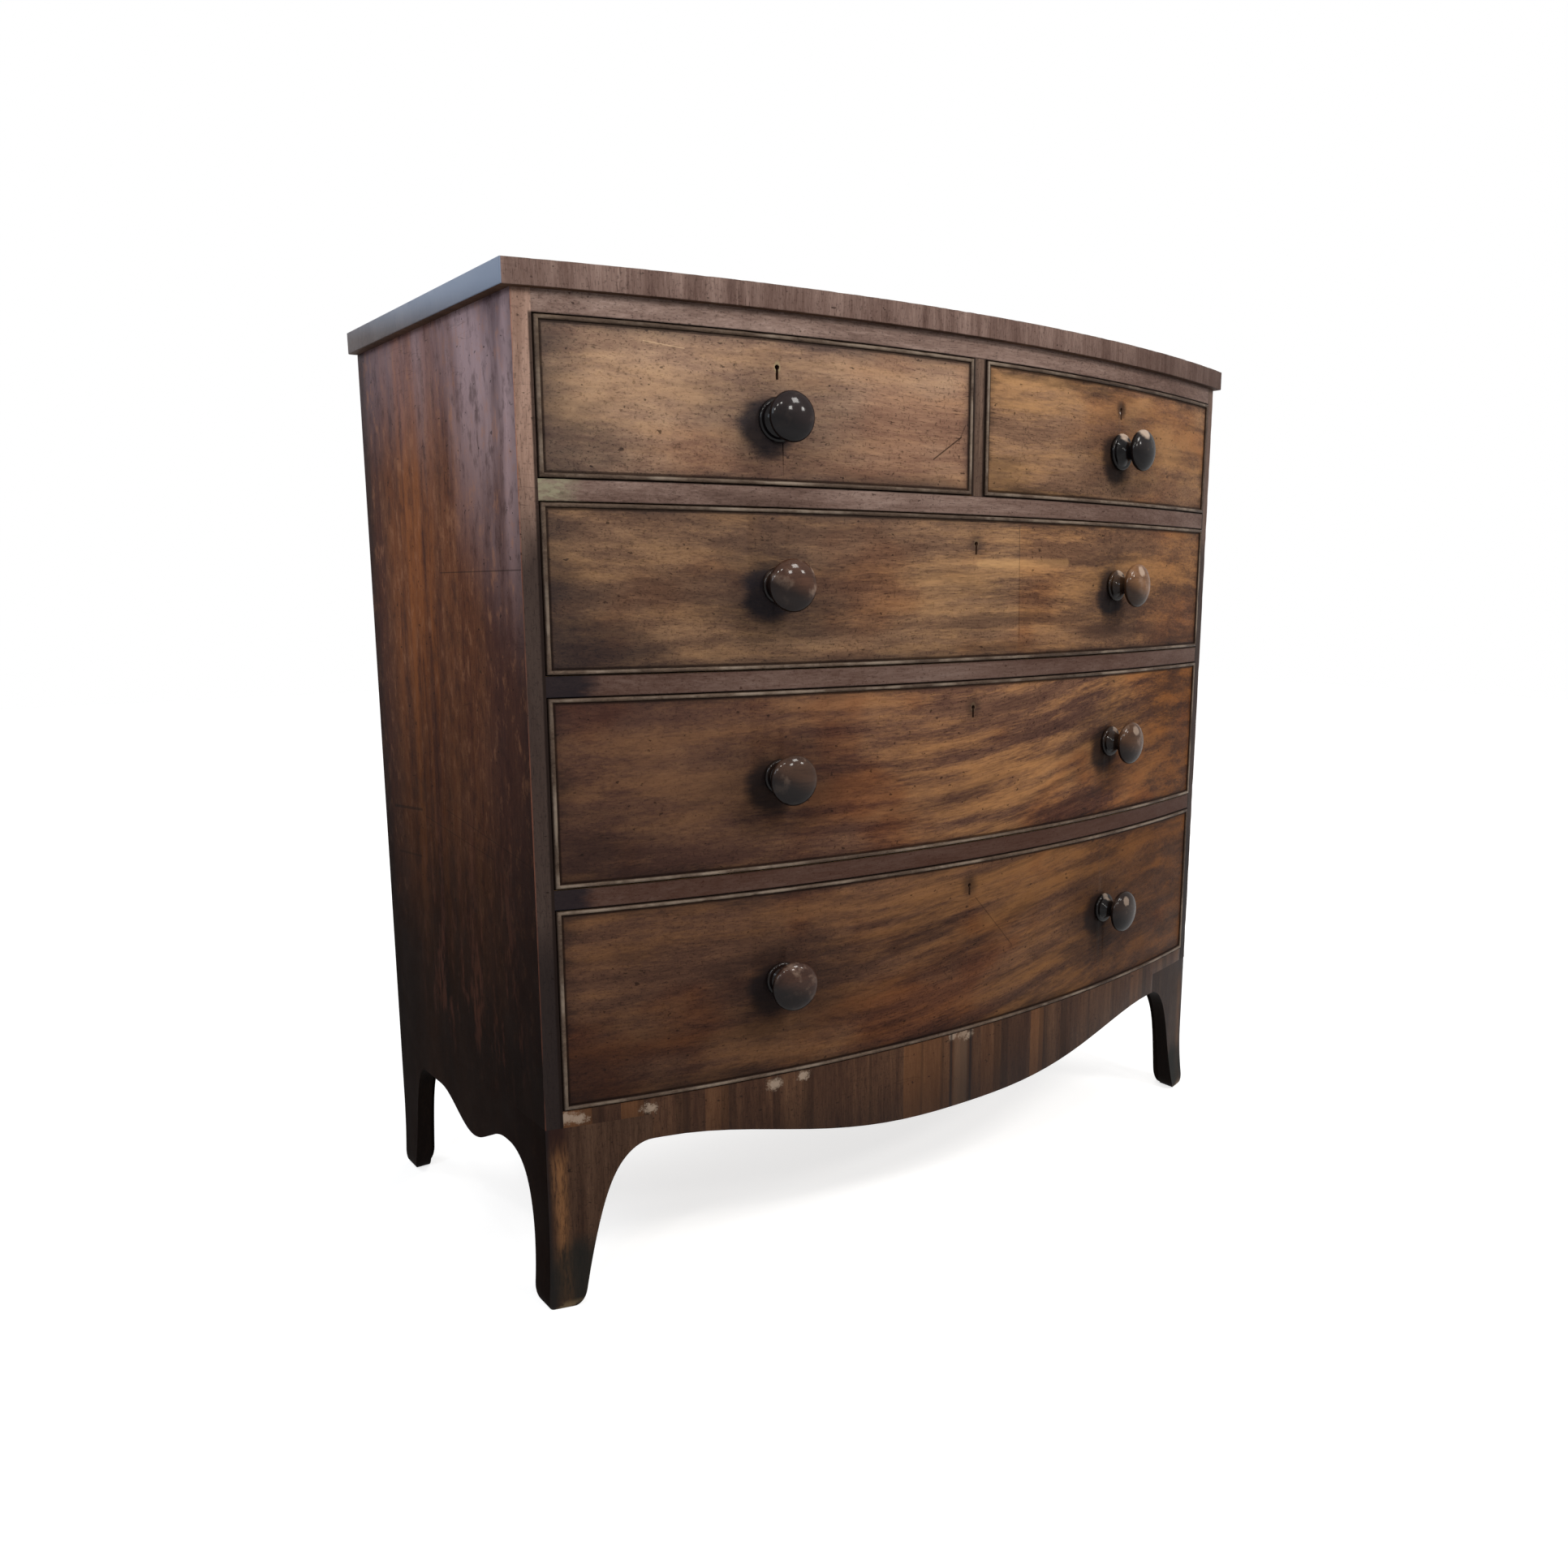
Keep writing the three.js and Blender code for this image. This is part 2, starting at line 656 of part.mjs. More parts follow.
// Assembly
const wholeSpan = [[-innerHalf, innerHalf]];
const halfSpans = [[-innerHalf, -muntinHalf], [muntinHalf, innerHalf]];
const knobPlaces = [-knobSpread, knobSpread];
const [leftPlace, rightPlace] = knobPlaces;
const upperCeiling = upperFloor + upperOpening;
const topHalf = halfWidth + topSideOverhang;

addPiece(chest, "top_board",
  bowShelf(-topHalf, topHalf, -topFrontOverhang, carcassDepth, carcassTop, carcassTop + topThickness),
  carcassWood);
const shelfTops = [bottomFloor, thirdFloor, secondFloor, upperFloor, upperCeiling + dustBoardThickness];
addPair("side", carcassSide(shelfTops), carcassWood);
addPiece(chest, "back_board", backPanel(), liningWood);

const topRail = bowShelf(-innerHalf, innerHalf, 0, railDepth, upperCeiling, carcassTop)
  .add(tongued(upperCeiling + dustBoardThickness, railDepth));
addPiece(chest, "top_rail", mortised(topRail, knobPlaces, upperCeiling), carcassWood);
addPiece(chest, "upper_divider", divider(upperFloor, halfSpans, shortStopShares), carcassWood);
addPiece(chest, "middle_divider", divider(secondFloor, wholeSpan, longStopShares), carcassWood);
addPiece(chest, "lower_divider", divider(thirdFloor, wholeSpan, longStopShares), carcassWood);
const floorBoard = bowShelf(-innerHalf, innerHalf, apronThickness + seatGap, backInner - seatGap,
  bracketHeight, bottomFloor).add(tongued(bottomFloor, backInner - seatGap));
addPiece(chest, "bottom_board", withStops(floorBoard, wholeSpan, longStopShares, bottomFloor), liningWood);
addPiece(chest, "muntin", muntin(), carcassWood);

addPiece(chest, "front_apron", frontApron(), frontWood);
addPair("apron", sideApron(), carcassWood);
addPair("front_foot", frontFoot(), carcassWood);
addPair("rear_foot", rearFoot(), carcassWood);

for (const [name, span, place] of [
  ["upper_left_drawer", halfSpans[0], leftPlace],
  ["upper_right_drawer", halfSpans[1], rightPlace],
]) {
  addDrawer(name, span, upperFloor, upperOpening, place, [place], -shortKnobDrop, shortKnob);
}
for (const [name, floor, opening] of [
  ["second_drawer", secondFloor, secondOpening],
  ["third_drawer", thirdFloor, thirdOpening],
  ["bottom_drawer", bottomFloor, bottomOpening],
]) {
  addDrawer(name, wholeSpan[0], floor, opening, 0, knobPlaces, longKnobRise, longKnob);
}

// The origin lies on the floor under the middle of the chest
const extent = new THREE.Box3().setFromObject(chest, true);
chest.position.y = -(extent.min.y + extent.max.y) / 2;

export default chest;
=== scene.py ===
import math

import bmesh
import bpy
from mathutils import Matrix, Vector, noise


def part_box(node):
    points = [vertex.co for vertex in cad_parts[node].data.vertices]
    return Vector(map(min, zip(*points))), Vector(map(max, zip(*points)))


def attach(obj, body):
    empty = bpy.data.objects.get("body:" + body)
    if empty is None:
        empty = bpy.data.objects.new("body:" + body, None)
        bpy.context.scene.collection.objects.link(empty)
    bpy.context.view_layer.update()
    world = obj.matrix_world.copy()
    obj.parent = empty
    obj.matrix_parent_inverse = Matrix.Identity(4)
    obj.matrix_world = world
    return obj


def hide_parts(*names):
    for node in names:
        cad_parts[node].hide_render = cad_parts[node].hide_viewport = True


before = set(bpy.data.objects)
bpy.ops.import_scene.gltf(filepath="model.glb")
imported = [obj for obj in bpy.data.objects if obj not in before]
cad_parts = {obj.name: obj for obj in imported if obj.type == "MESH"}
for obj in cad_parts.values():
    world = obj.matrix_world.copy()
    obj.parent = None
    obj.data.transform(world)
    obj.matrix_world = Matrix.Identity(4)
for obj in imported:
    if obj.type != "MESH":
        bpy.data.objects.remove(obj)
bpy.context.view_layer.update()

MM = 0.001
scene = bpy.context.scene


def add_object(name, data):
    made = bpy.data.objects.new(name, data)
    scene.collection.objects.link(made)
    return made


# The bow that every show face follows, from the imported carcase
HALF_WIDTH = -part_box("left_side")[0].x
SIDE_THICKNESS = 18 * MM
INNER_HALF = HALF_WIDTH - SIDE_THICKNESS
BOW_RISE = 76 * MM
BOW_RADIUS = (HALF_WIDTH ** 2 + BOW_RISE ** 2) / (2 * BOW_RISE)
BOW_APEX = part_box("top_rail")[0].y
BOW_CENTRE = BOW_APEX + BOW_RADIUS
CORNER_Y = BOW_APEX + BOW_RISE
BACK_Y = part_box("left_side")[1].y
FOOT_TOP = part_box("left_side")[0].z
FRONT_THICKNESS = 22 * MM
BEAD_WIDTH = 4.5 * MM
BEAD_DEPTH = 6 * MM
BEAD_PROUD = 2.4 * MM
TOP_OVERHANG = 8 * MM
APRON_THICKNESS = 20 * MM
TAIL_DEPTH = 17 * MM
SEAT_GAP = 0.3 * MM
BOW_INSETS = (0, BEAD_DEPTH, FRONT_THICKNESS, TAIL_DEPTH, APRON_THICKNESS, APRON_THICKNESS + SEAT_GAP,
              TAIL_DEPTH + SEAT_GAP, -TOP_OVERHANG)
CHORD_GAP = 0.25 * MM
BOW_STEP = 9 * MM
TOP_STEP = 6 * MM
SIDE_STEP = 12 * MM

# Knobs, as distances from the drawer face and radii
KNOB_SPREAD = 262 * MM
ROSE_THICKNESS = 6 * MM
ROSE_SHOULDER = 2 * MM
NECK_LENGTH = 10 * MM
NECK_RADIUS = 10 * MM
COLLAR_LENGTH = 10 * MM
COLLAR_RADIUS = 14 * MM
HEAD_BACK = 26 * MM
HEAD_RIM = 33 * MM
HEAD_FRONT = 42.8 * MM
SHORT_ROSE = 22.5 * MM
LONG_ROSE = 19.5 * MM
KNOB_SIDES = 64
KEYHOLE_DROP = 31 * MM

# Lock case on the inner face of a drawer front, and its screws
LOCK_CASE_WIDTH = 62 * MM
LOCK_CASE_HEIGHT = 46 * MM
LOCK_CASE_DEPTH = 14 * MM
LOCK_CASE_INSET = 0.5 * MM
SCREW_INSET = 6 * MM
SCREW_RADIUS = 3.2 * MM
SCREW_SLOT = 0.9 * MM
SCREW_STEPS = 12
SCREW_DOME = ((1.0, -0.1 * MM), (1.0, 0.35 * MM), (0.8, 0.7 * MM), (0.5, 0.9 * MM))

# Bracket feet: toe, straight taper and sweep of each face
FRONT_FACE = (30 * MM, 40 * MM, 39 * MM)
FRONT_SIDE_FACE = (32 * MM, 12 * MM, 54 * MM)
REAR_SIDE_FACE = (36 * MM, 26 * MM, 25 * MM)
REAR_FACE = (29 * MM, 7 * MM, 40 * MM)
FRONT_ARCH = FOOT_TOP - 27.5 * MM
SIDE_ARCH = FOOT_TOP - 46 * MM
SWEEP_POWER = 6
FRONT_SPLAY = 6 * MM
REAR_SPLAY = 3 * MM
SPLAY_HEIGHT = 90 * MM
TOE_ROUND_HEIGHT = 18 * MM
TOE_ROUND_INSIDE = 10 * MM
TOE_ROUND_OUTSIDE = 6 * MM
CORNER_FILL_SHARE = 0.55
ARCH_SHARE = 0.16
FOOT_CORNER = 2 * MM
SIDE_LOBE_DROP = 31 * MM
SIDE_LOBE_HALF = 98 * MM
SIDE_LOBE_OFFSET = 18 * MM

# Edges: widths of their rounding, and what counts as a corner, a flat joint or one point
TOP_ROUND = 1.4 * MM
SIDE_ROUND = 1.3 * MM
RAIL_ROUND = 0.6 * MM
FRONT_ROUND = 0.35 * MM
EDGE_TURN = math.radians(40)
CREASE_TURN = math.radians(32)
FLAT_TURN = math.radians(0.15)
WELD = 0.002 * MM
SLICE_SNAP = 0.001 * MM
TOUCH = 0.1 * MM

# Wear of the edges, as depth and pitch, and how far in from an outer face a material reaches
TOP_WEAR = (0.5 * MM, 9 * MM)
SIDE_WEAR = (0.7 * MM, 14 * MM)
BEAD_WEAR = (1.1 * MM, 14 * MM)
ARRIS_REACH = 3 * MM
TOP_ARRIS_REACH = 4 * MM
SKIN_DEPTH = 1.5 * MM
SIDE_SKIN = 2 * MM
FOOT_FRONT_SKIN = 5 * MM
FOOT_SIDE_SKIN = 4 * MM

# Camera, worked out from the vanishing lines of the photograph
PHOTO_SIDE = 1932
FOCAL_PIXELS = 1566.767
CENTRE_PIXEL = (1022.408, 1007.9)
CAMERA_PLACE = (-1.0280, -1.3322, 0.7539)
CAMERA_TURN = (math.pi / 2 - 0.180366, 0, -0.646824)
SENSOR = 36


def add_camera():
    camera = bpy.data.cameras.new("camera")
    camera.sensor_width = SENSOR
    camera.lens = SENSOR * FOCAL_PIXELS / PHOTO_SIDE
    camera.shift_x = (PHOTO_SIDE / 2 - CENTRE_PIXEL[0]) / PHOTO_SIDE
    camera.shift_y = (CENTRE_PIXEL[1] - PHOTO_SIDE / 2) / PHOTO_SIDE
    scene.camera = add_object("camera", camera)
    scene.camera.location = CAMERA_PLACE
    scene.camera.rotation_euler = CAMERA_TURN


add_camera()


# Node materials written as short sums
class Shader:
    def __init__(self, owner, surface):
        owner.use_nodes = True
        self.owner = owner
        self.nodes = owner.node_tree.nodes
        self.links = owner.node_tree.links
        self.surface = self.nodes[surface]

    def feed(self, socket, value):
        if isinstance(value, bpy.types.NodeSocket):
            self.links.new(value, socket)
        else:
            socket.default_value = value

    def finish(self, values):
        """Feeds the surface by the names of its inputs."""
        for name, value in values.items():
            self.feed(self.surface.inputs[name], value)
        return self.owner

    def node(self, kind, *values, **named):
        """A new node, its first inputs fed in order and others by name."""
        made = self.nodes.new("ShaderNode" + kind)
        for socket, value in zip(made.inputs, values):
            self.feed(socket, value)
        for name, value in named.items():
            self.feed(made.inputs[name], value)
        return made

    def math(self, operation, *values, clamp=False):
        node = self.node("Math", *values)
        node.operation = operation
        node.use_clamp = clamp
        return node.outputs[0]

    def times(self, *values):
        product = values[0]
        for value in values[1:]:
            product = self.math("MULTIPLY", product, value)
        return product

    def total(self, *values):
        added = values[0]
        for value in values[1:]:
            added = self.math("ADD", added, value)
        return added

    def minus(self, first, second):
        return self.math("SUBTRACT", first, second)

    def most(self, first, second):
        return self.math("MAXIMUM", first, second)

    def size(self, value):
        return self.math("ABSOLUTE", value)

    def vector(self, operation, *values, output="Vector"):
        node = self.node("VectorMath", *values)
        node.operation = operation
        return node.outputs[output]

    def length(self, place):
        return self.vector("LENGTH", place, output="Value")

    def axes(self, place=None):
        return self.node("SeparateXYZ", place or self.place).outputs[:3]

    def combine(self, x, y, z):
        return self.node("CombineXYZ", x, y, z).outputs[0]

    def noise(self, place, scale, detail, rough, output="Fac"):
        scaled = self.vector("MULTIPLY", place, scale)
        return self.node("TexNoise", scaled, Scale=1, Detail=detail, Roughness=rough).outputs[output]

    def cells(self, value, scale, output="Color"):
        node = self.node("TexVoronoi", Scale=scale)
        node.voronoi_dimensions = "1D"
        self.feed(node.inputs["W"], value)
        return node.outputs[output]

    def level(self, value, low, high, start, end):
        return self.node("MapRange", value, low, high, start, end).outputs[0]

    def smooth(self, value, low, high, start=0.0, end=1.0):
        node = self.node("MapRange", value, low, high, start, end)
        node.interpolation_type = "SMOOTHSTEP"
        return node.outputs[0]

    def fade(self, value, low, high, start=0.0, end=1.0):
        """A smooth change between two places, which are given in mm."""
        return self.smooth(value, low * MM, high * MM, start, end)

    def patches(self, place, scale, detail, rough, low, high, start=0.0, end=1.0):
        """Soft-edged spots of noise."""
        return self.smooth(self.noise(place, scale, detail, rough), low, high, start, end)

    def wobble(self, place, scale, detail, rough, reach):
        """Noise around zero, which makes the edge of a mark uneven."""
        return self.times(self.minus(self.noise(place, scale, detail, rough), 0.5), reach)

    def mix(self, share, first, second, blend="MIX"):
        node = self.node("Mix", share)
        node.data_type = "RGBA"
        node.blend_type = blend
        self.feed(node.inputs[6], first)
        self.feed(node.inputs[7], second)
        return node.outputs[2]

    def tint(self, share, code, blend="MIX"):
        """Mixes a colour, written from 0 to 255, into the wood."""
        self.color = self.mix(share, self.color, tone(code), blend)

    def ramp(self, value, stops):
        node = self.node("ValToRGB", value)
        points = node.color_ramp.elements
        while len(points) < len(stops):
            points.new(0.5)
        for point, (place, color) in zip(points, stops):
            point.position = place
            point.color = color
        return node.outputs[0]

    def bump(self, height, strength, distance, below=None):
        node = self.node("Bump", Strength=strength, Distance=distance, Height=height)
        if below is not None:
            self.feed(node.inputs["Normal"], below)
        return node.outputs[0]

    def band(self, value, low, high, soft):
        """1 where value lies between low and high, with soft ends."""
        rise = self.smooth(value, low - soft, low + soft)
        fall = self.smooth(value, high - soft, high + soft, 1.0, 0.0)
        return self.times(rise, fall)

    def spot(self, centre, near, far, wobble=None, squeeze=1.0):
        """1 within near of a point of the front and 0 beyond far; squeeze under 1 widens it across."""
        x, _, z = self.axes()
        across = self.times(self.minus(x, centre[0]), squeeze)
        gap = self.length(self.combine(across, self.minus(z, centre[1]), 0.0))
        if wobble is not None:
            gap = self.total(gap, wobble)
        return self.smooth(gap, near, far, 1.0, 0.0)

    def stroke(self, first, last, half, plane="xz"):
        """1 along a thin straight mark between two points of a plane."""
        axes = dict(zip("xyz", self.axes()))
        at = self.combine(axes[plane[0]], axes[plane[1]], 0.0)
        run = Vector((last[0] - first[0], last[1] - first[1], 0))
        start = (first[0], first[1], 0.0)
        along = self.vector("DOT_PRODUCT", self.vector("SUBTRACT", at, start), run, output="Value")
        share = self.math("DIVIDE", along, run.length_squared, clamp=True)
        step = self.node("VectorMath", run)
        step.operation = "SCALE"
        self.feed(step.inputs["Scale"], share)
        nearest = self.vector("ADD", step.outputs[0], start)
        gap = self.vector("DISTANCE", at, nearest, output="Value")
        return self.smooth(gap, half * 0.3, half, 1.0, 0.0)


def new_material(name):
    s = Shader(bpy.data.materials.new(name), "Principled BSDF")
    s.place = s.node("TexCoord").outputs["Object"]
    return s


def tone(code):
    """A colour written as red, green and blue from 0 to 255, as shader values."""
    return tuple(((v / 255 + 0.055) / 1.055) ** 2.4 if v > 10 else v / 3295 for v in code) + (1.0,)


GRAIN_AXES = {"x": 0, "y": 1, "z": 2}
PORE_AND_SHADE = (22, 14, 11)
GRIME_AND_SHADE = (26, 22, 23)
RUST_RED = (120, 56, 34)
END_SHADE = (0.56, 0.40, 0.22, 1.0)
GRAIN_WAVE = 28 * MM
GRAIN_CONTRAST = (0.28, 0.74)
FRONT_GLOW = 0.5


def stretched(grain, along, across):
    scale = [across, across, across]
    scale[GRAIN_AXES[grain]] = along
    return tuple(scale)


# Wood: broad figure, lenses, streaks, fibre and short dark pores along the grain, under a worn polish
def wood_base(name, grain, tones, seed, figure=(2.2, 15.0), grit=1.0, lift=None):
    """lift bends the grain of a front upwards: (height, x where it starts, x where it ends)."""
    s = new_material(name)
    place = s.place
    if lift is not None:
        x, y, z = s.axes()
        place = s.combine(x, y, s.minus(z, s.smooth(x, lift[1], lift[2], 0.0, lift[0])))
    shifted = s.vector("ADD", place, (seed * 0.73, seed * 1.37, seed * 2.11))
    drift = s.vector("SUBTRACT", s.noise(shifted, (2.2, 2.2, 2.2), 2, 0.5, "Color"), (0.5, 0.5, 0.5))
    warped = s.vector("ADD", shifted, s.vector("MULTIPLY", drift, (GRAIN_WAVE, GRAIN_WAVE, GRAIN_WAVE)))
    broad = s.noise(warped, stretched(grain, *figure), 2, 0.5)
    lens = s.noise(warped, stretched(grain, 5.5, 60), 3, 0.55)
    streak = s.noise(warped, stretched(grain, 8.0, 210), 4, 0.65)
    fibre = s.noise(warped, stretched(grain, 55, 480), 4, 0.7)
    pore = s.patches(warped, stretched(grain, 85, 900), 3, 0.6, 0.56, 0.70)
    blend = s.total(s.times(broad, 0.30), s.times(lens, 0.24), s.times(streak, 0.22), s.times(fibre, 0.24))
    stops = [(index / (len(tones) - 1), tone(code)) for index, code in enumerate(tones)]
    s.color = s.ramp(s.smooth(blend, *GRAIN_CONTRAST), stops)
    s.tint(s.times(pore, 0.5 * grit), PORE_AND_SHADE)
    s.tint(s.patches(shifted, (330, 330, 330), 2, 0.6, 0.56, 0.70, 0.0, 0.35 * grit), PORE_AND_SHADE)
    s.shifted, s.warped, s.lens, s.fibre, s.pore = shifted, warped, lens, fibre, pore
    return s


def finish_wood(s, gloss=0.42, relief=0.35, dirt_and_shade=0.0, specular=0.05, coat=0.0, coat_rough=0.2):
    fine = s.total(s.times(s.fibre, 0.6), s.times(s.pore, -0.8))
    soft = s.noise(s.shifted, (9, 9, 9), 3, 0.5)
    normal = s.bump(soft, 0.25, 3 * MM)
    normal = s.bump(fine, relief, 0.25 * MM, normal)
    rough = s.total(gloss - 0.10, s.times(s.noise(s.shifted, (24, 24, 24), 4, 0.6), 0.2))
    rough = s.total(rough, s.times(s.pore, 0.12))
    rough = s.math("ADD", rough, s.times(dirt_and_shade, 0.14), clamp=True)
    return s.finish({"Base Color": s.color, "Roughness": rough, "Normal": normal,
                     "Specular IOR Level": specular, "Coat Weight": coat, "Coat Roughness": coat_rough})


def painted_corner_shade(s, box, reach, strength):
    """Darkens a line along the edges of a box seen face on, reach wide: painted shade in a corner."""
    x, _, z = s.axes()
    low, high = box
    gap = s.math("MINIMUM", s.minus(x, low[0]), s.minus(high[0], x))
    gap = s.math("MINIMUM", gap, s.minus(z, low[1]))
    gap = s.math("MINIMUM", gap, s.minus(high[1], z))
    s.tint(s.smooth(gap, reach * 0.55, reach, strength, 0.0), PORE_AND_SHADE)


def blemish(s):
    """Small dark flecks and hairline cracks along the grain."""
    fleck = s.patches(s.shifted, (120, 120, 190), 2, 0.5, 0.69, 0.75)
    line = s.noise(s.warped, (9, 9, 75), 2, 0.5)
    line = s.smooth(s.size(s.minus(line, 0.5)), 0.0, 0.010, 1.0, 0.0)
    line = s.times(line, s.patches(s.shifted, (8, 8, 8), 2, 0.5, 0.56, 0.66))
    s.tint(s.most(s.times(fleck, 0.7), s.times(line, 0.35)), PORE_AND_SHADE)


def show_front(drawer, look, seed):
    """Drawer veneer: golden in the middle, dark at the edges and keyhole, and round the knobs with grime
    and painted shadow.
    """
    s = wood_base(drawer + "_veneer", "x", look["tones"], seed, grit=1.35, lift=look.get("lift"))
    low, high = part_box(drawer + "_front")
    x, _, z = s.axes()
    band = s.noise(s.warped, (3.1, 3.1, 24.0), 3, 0.6)
    glow = s.smooth(s.total(s.times(s.lens, 0.3), s.times(band, 0.5), s.times(s.fibre, 0.2)), 0.44, 0.62)
    rise = s.fade(x, -220, 120, *look["rise"])
    s.tint(s.times(glow, FRONT_GLOW, rise), look["gold"])
    vein = s.patches(s.warped, (4.0, 4.0, 46.0), 4, 0.65, 0.52, 0.68, 0.0, 0.36)
    s.tint(s.times(vein, rise), look["tones"][0])
    # Painted shade: the left end of the front darker, away from the light
    s.tint(s.fade(x, -100, -380, 0.0, look["left_shade"]), look["tones"][0])
    share = s.smooth(x, look["shade_from"], 440 * MM, 0.0, look["right_shade"])
    s.color = s.mix(share, s.color, END_SHADE, "MULTIPLY")
    red = s.patches(s.shifted, (4.3, 4.3, 7.0), 3, 0.6, 0.48, 0.66, 0.0, look["red"])
    s.tint(red, RUST_RED, "SOFT_LIGHT")
    blemish(s)
    wobble = s.wobble(s.warped, (8, 8, 40), 5, 0.68, 0.085)
    left, right, bottom, top = look["edges"]
    gaps = [(s.minus(x, low.x), left), (s.minus(high.x, x), right),
            (s.minus(z, low.z), bottom), (s.minus(high.z, z), top)]
    clean = 1.0
    for gap, width in gaps:
        clean = s.times(s.smooth(s.total(gap, s.times(wobble, width / left)), -0.2 * width, width), clean)
    dirt_and_shade = s.times(s.minus(1.0, clean), look["edge_dirt"])
    corner = (low.x + 6 * MM, low.z + 14 * MM)
    corner = s.spot(corner, 12 * MM, look["corner"], s.times(wobble, 1.5), squeeze=0.62)
    dirt_and_shade = s.most(dirt_and_shade, s.times(corner, look["corner_dirt"]))
    smudge = s.patches(s.warped, (4.5, 4.5, 24), 5, 0.68, 0.54, 0.76, 0.0, look["smudge"])
    dirt_and_shade = s.most(dirt_and_shade, smudge)
    # Round each knob the dark mask adds a painted shadow to the lower left and a wider halo of grime and
    # painted shadow
    for node, across in knobs_of(drawer):
        centre = knob_centre(node, across)
        near = s.spot((centre[0] - 11 * MM, centre[1] - 9 * MM), 21 * MM, 46 * MM, s.times(wobble, 0.4))
        wide = s.spot((centre[0] + 4 * MM, centre[1] - 10 * MM), 20 * MM, 95 * MM, wobble, squeeze=0.7)
        dirt_and_shade = s.most(dirt_and_shade, s.most(s.times(near, 0.92), s.times(wide, look["halo"])))
    hole = (lock_place(drawer), high.z - KEYHOLE_DROP)
    dirt_and_shade = s.most(dirt_and_shade, s.times(s.spot(hole, 4 * MM, 18 * MM), look["hole_dirt"]))
    s.tint(dirt_and_shade, look.get("grime_and_shade", GRIME_AND_SHADE))
    s.tint(s.times(s.spot(hole, 4.5 * MM, 7 * MM, squeeze=1.6), look["hole_rim"]), (150, 136, 104))
    for first, last, half, strength, color in look["marks"]:
        s.tint(s.times(s.stroke(first, last, half), strength), color)
    # Painted shade in the corner along the inside of the cockbead
    inner = ((low.x + BEAD_WIDTH, low.z + BEAD_WIDTH), (high.x - BEAD_WIDTH, high.z - BEAD_WIDTH))
    painted_corner_shade(s, inner, 3 * MM, 0.7)
    if "seam" in look:
        seam = s.smooth(x, look["seam"] - 1 * MM, look["seam"] + 1 * MM, 0.0, 0.2)
        s.tint(seam, look["gold"], "SOFT_LIGHT")
    return finish_wood(s, dirt_and_shade=dirt_and_shade, specular=0.025)


def plain_wood(name, grain, tones, seed, dirt_and_shade, gloss=0.45, relief=0.35, specular=0.1):
    s = wood_base(name, grain, tones, seed)
    cloud = s.patches(s.shifted, (6, 6, 6), 4, 0.65, 0.45, 0.75, 0.0, dirt_and_shade)
    s.tint(cloud, GRIME_AND_SHADE)
    return finish_wood(s, gloss=gloss, relief=relief, dirt_and_shade=cloud, specular=specular)


def shade_down(s, low, high, strength, color):
    """Darkens a material towards the floor, as painted shade and partly dirt: full strength at low, none at
    high.
    """
    _, _, z = s.axes()
    drift = s.wobble(s.shifted, (5, 5, 5), 3, 0.6, 0.18)
    share = s.smooth(s.total(z, drift), low, high, strength, 0.0)
    s.tint(share, color)
    return share


def side_material():
    """Upright mahogany: an orange streak at the back, plum to the front, a painted pale sheen at the top
    front, near black at the feet from painted shade and dirt.
    """
    s = wood_base("side_wood", "z", ((50, 26, 20), (80, 45, 32), (104, 64, 43), (126, 84, 57)), 13.0,
                  figure=(1.6, 11.0))
    x, y, z = s.axes()
    streak = s.times(s.band(y, 40 * MM, 185 * MM, 45 * MM),
                     s.patches(s.warped, (26, 26, 1.6), 4, 0.65, 0.38, 0.62))
    s.tint(s.times(streak, 0.7), (142, 84, 46))
    plum = s.most(s.fade(y, -30, -120, 0.0, 0.68), s.fade(y, 150, 240, 0.0, 0.5))
    s.tint(plum, (54, 34, 34))
    # Painted sheen and light: a pale bluish reflection at the top front, and the top of the side paler
    painted_sheen = s.fade(s.total(z, s.times(y, -0.8)), 760, 1090)
    painted_sheen = s.times(painted_sheen, s.patches(s.warped, (16, 16, 3), 4, 0.6, 0.30, 0.62))
    s.tint(s.times(painted_sheen, 0.85), (172, 146, 148))
    s.tint(s.fade(z, 860, 1010, 0.0, 0.3), (132, 116, 128))
    mottle = s.noise(s.warped, (62, 62, 34), 4, 0.7)
    s.tint(s.smooth(mottle, 0.50, 0.70, 0.0, 0.55), (48, 28, 26))
    s.tint(s.smooth(mottle, 0.48, 0.30, 0.0, 0.40), (156, 108, 80))
    blemish(s)
    edge = s.most(s.fade(y, 238, 264, 0.0, 0.6), s.fade(y, -150, -170, 0.0, 0.3))
    s.tint(edge, GRIME_AND_SHADE)
    # Painted shade towards the floor, partly dirt
    dirt_and_shade = shade_down(s, 240 * MM, 860 * MM, 0.97, (12, 6, 4))
    fleck = s.times(s.patches(s.warped, (46, 46, 12), 4, 0.7, 0.50, 0.66), s.fade(y, -150, -90),
                    s.fade(y, 190, 120), s.fade(z, 180, 300))
    s.tint(s.times(fleck, dirt_and_shade, 0.42), (88, 54, 42))
    left_only = s.fade(x, 1, -1)
    for first, last, half, strength, color in SIDE_MARKS:
        mark = s.times(s.stroke(first, last, half, "yz"), strength, left_only)
        s.tint(mark, color)
    return finish_wood(s, gloss=0.46, dirt_and_shade=dirt_and_shade, specular=0.006)


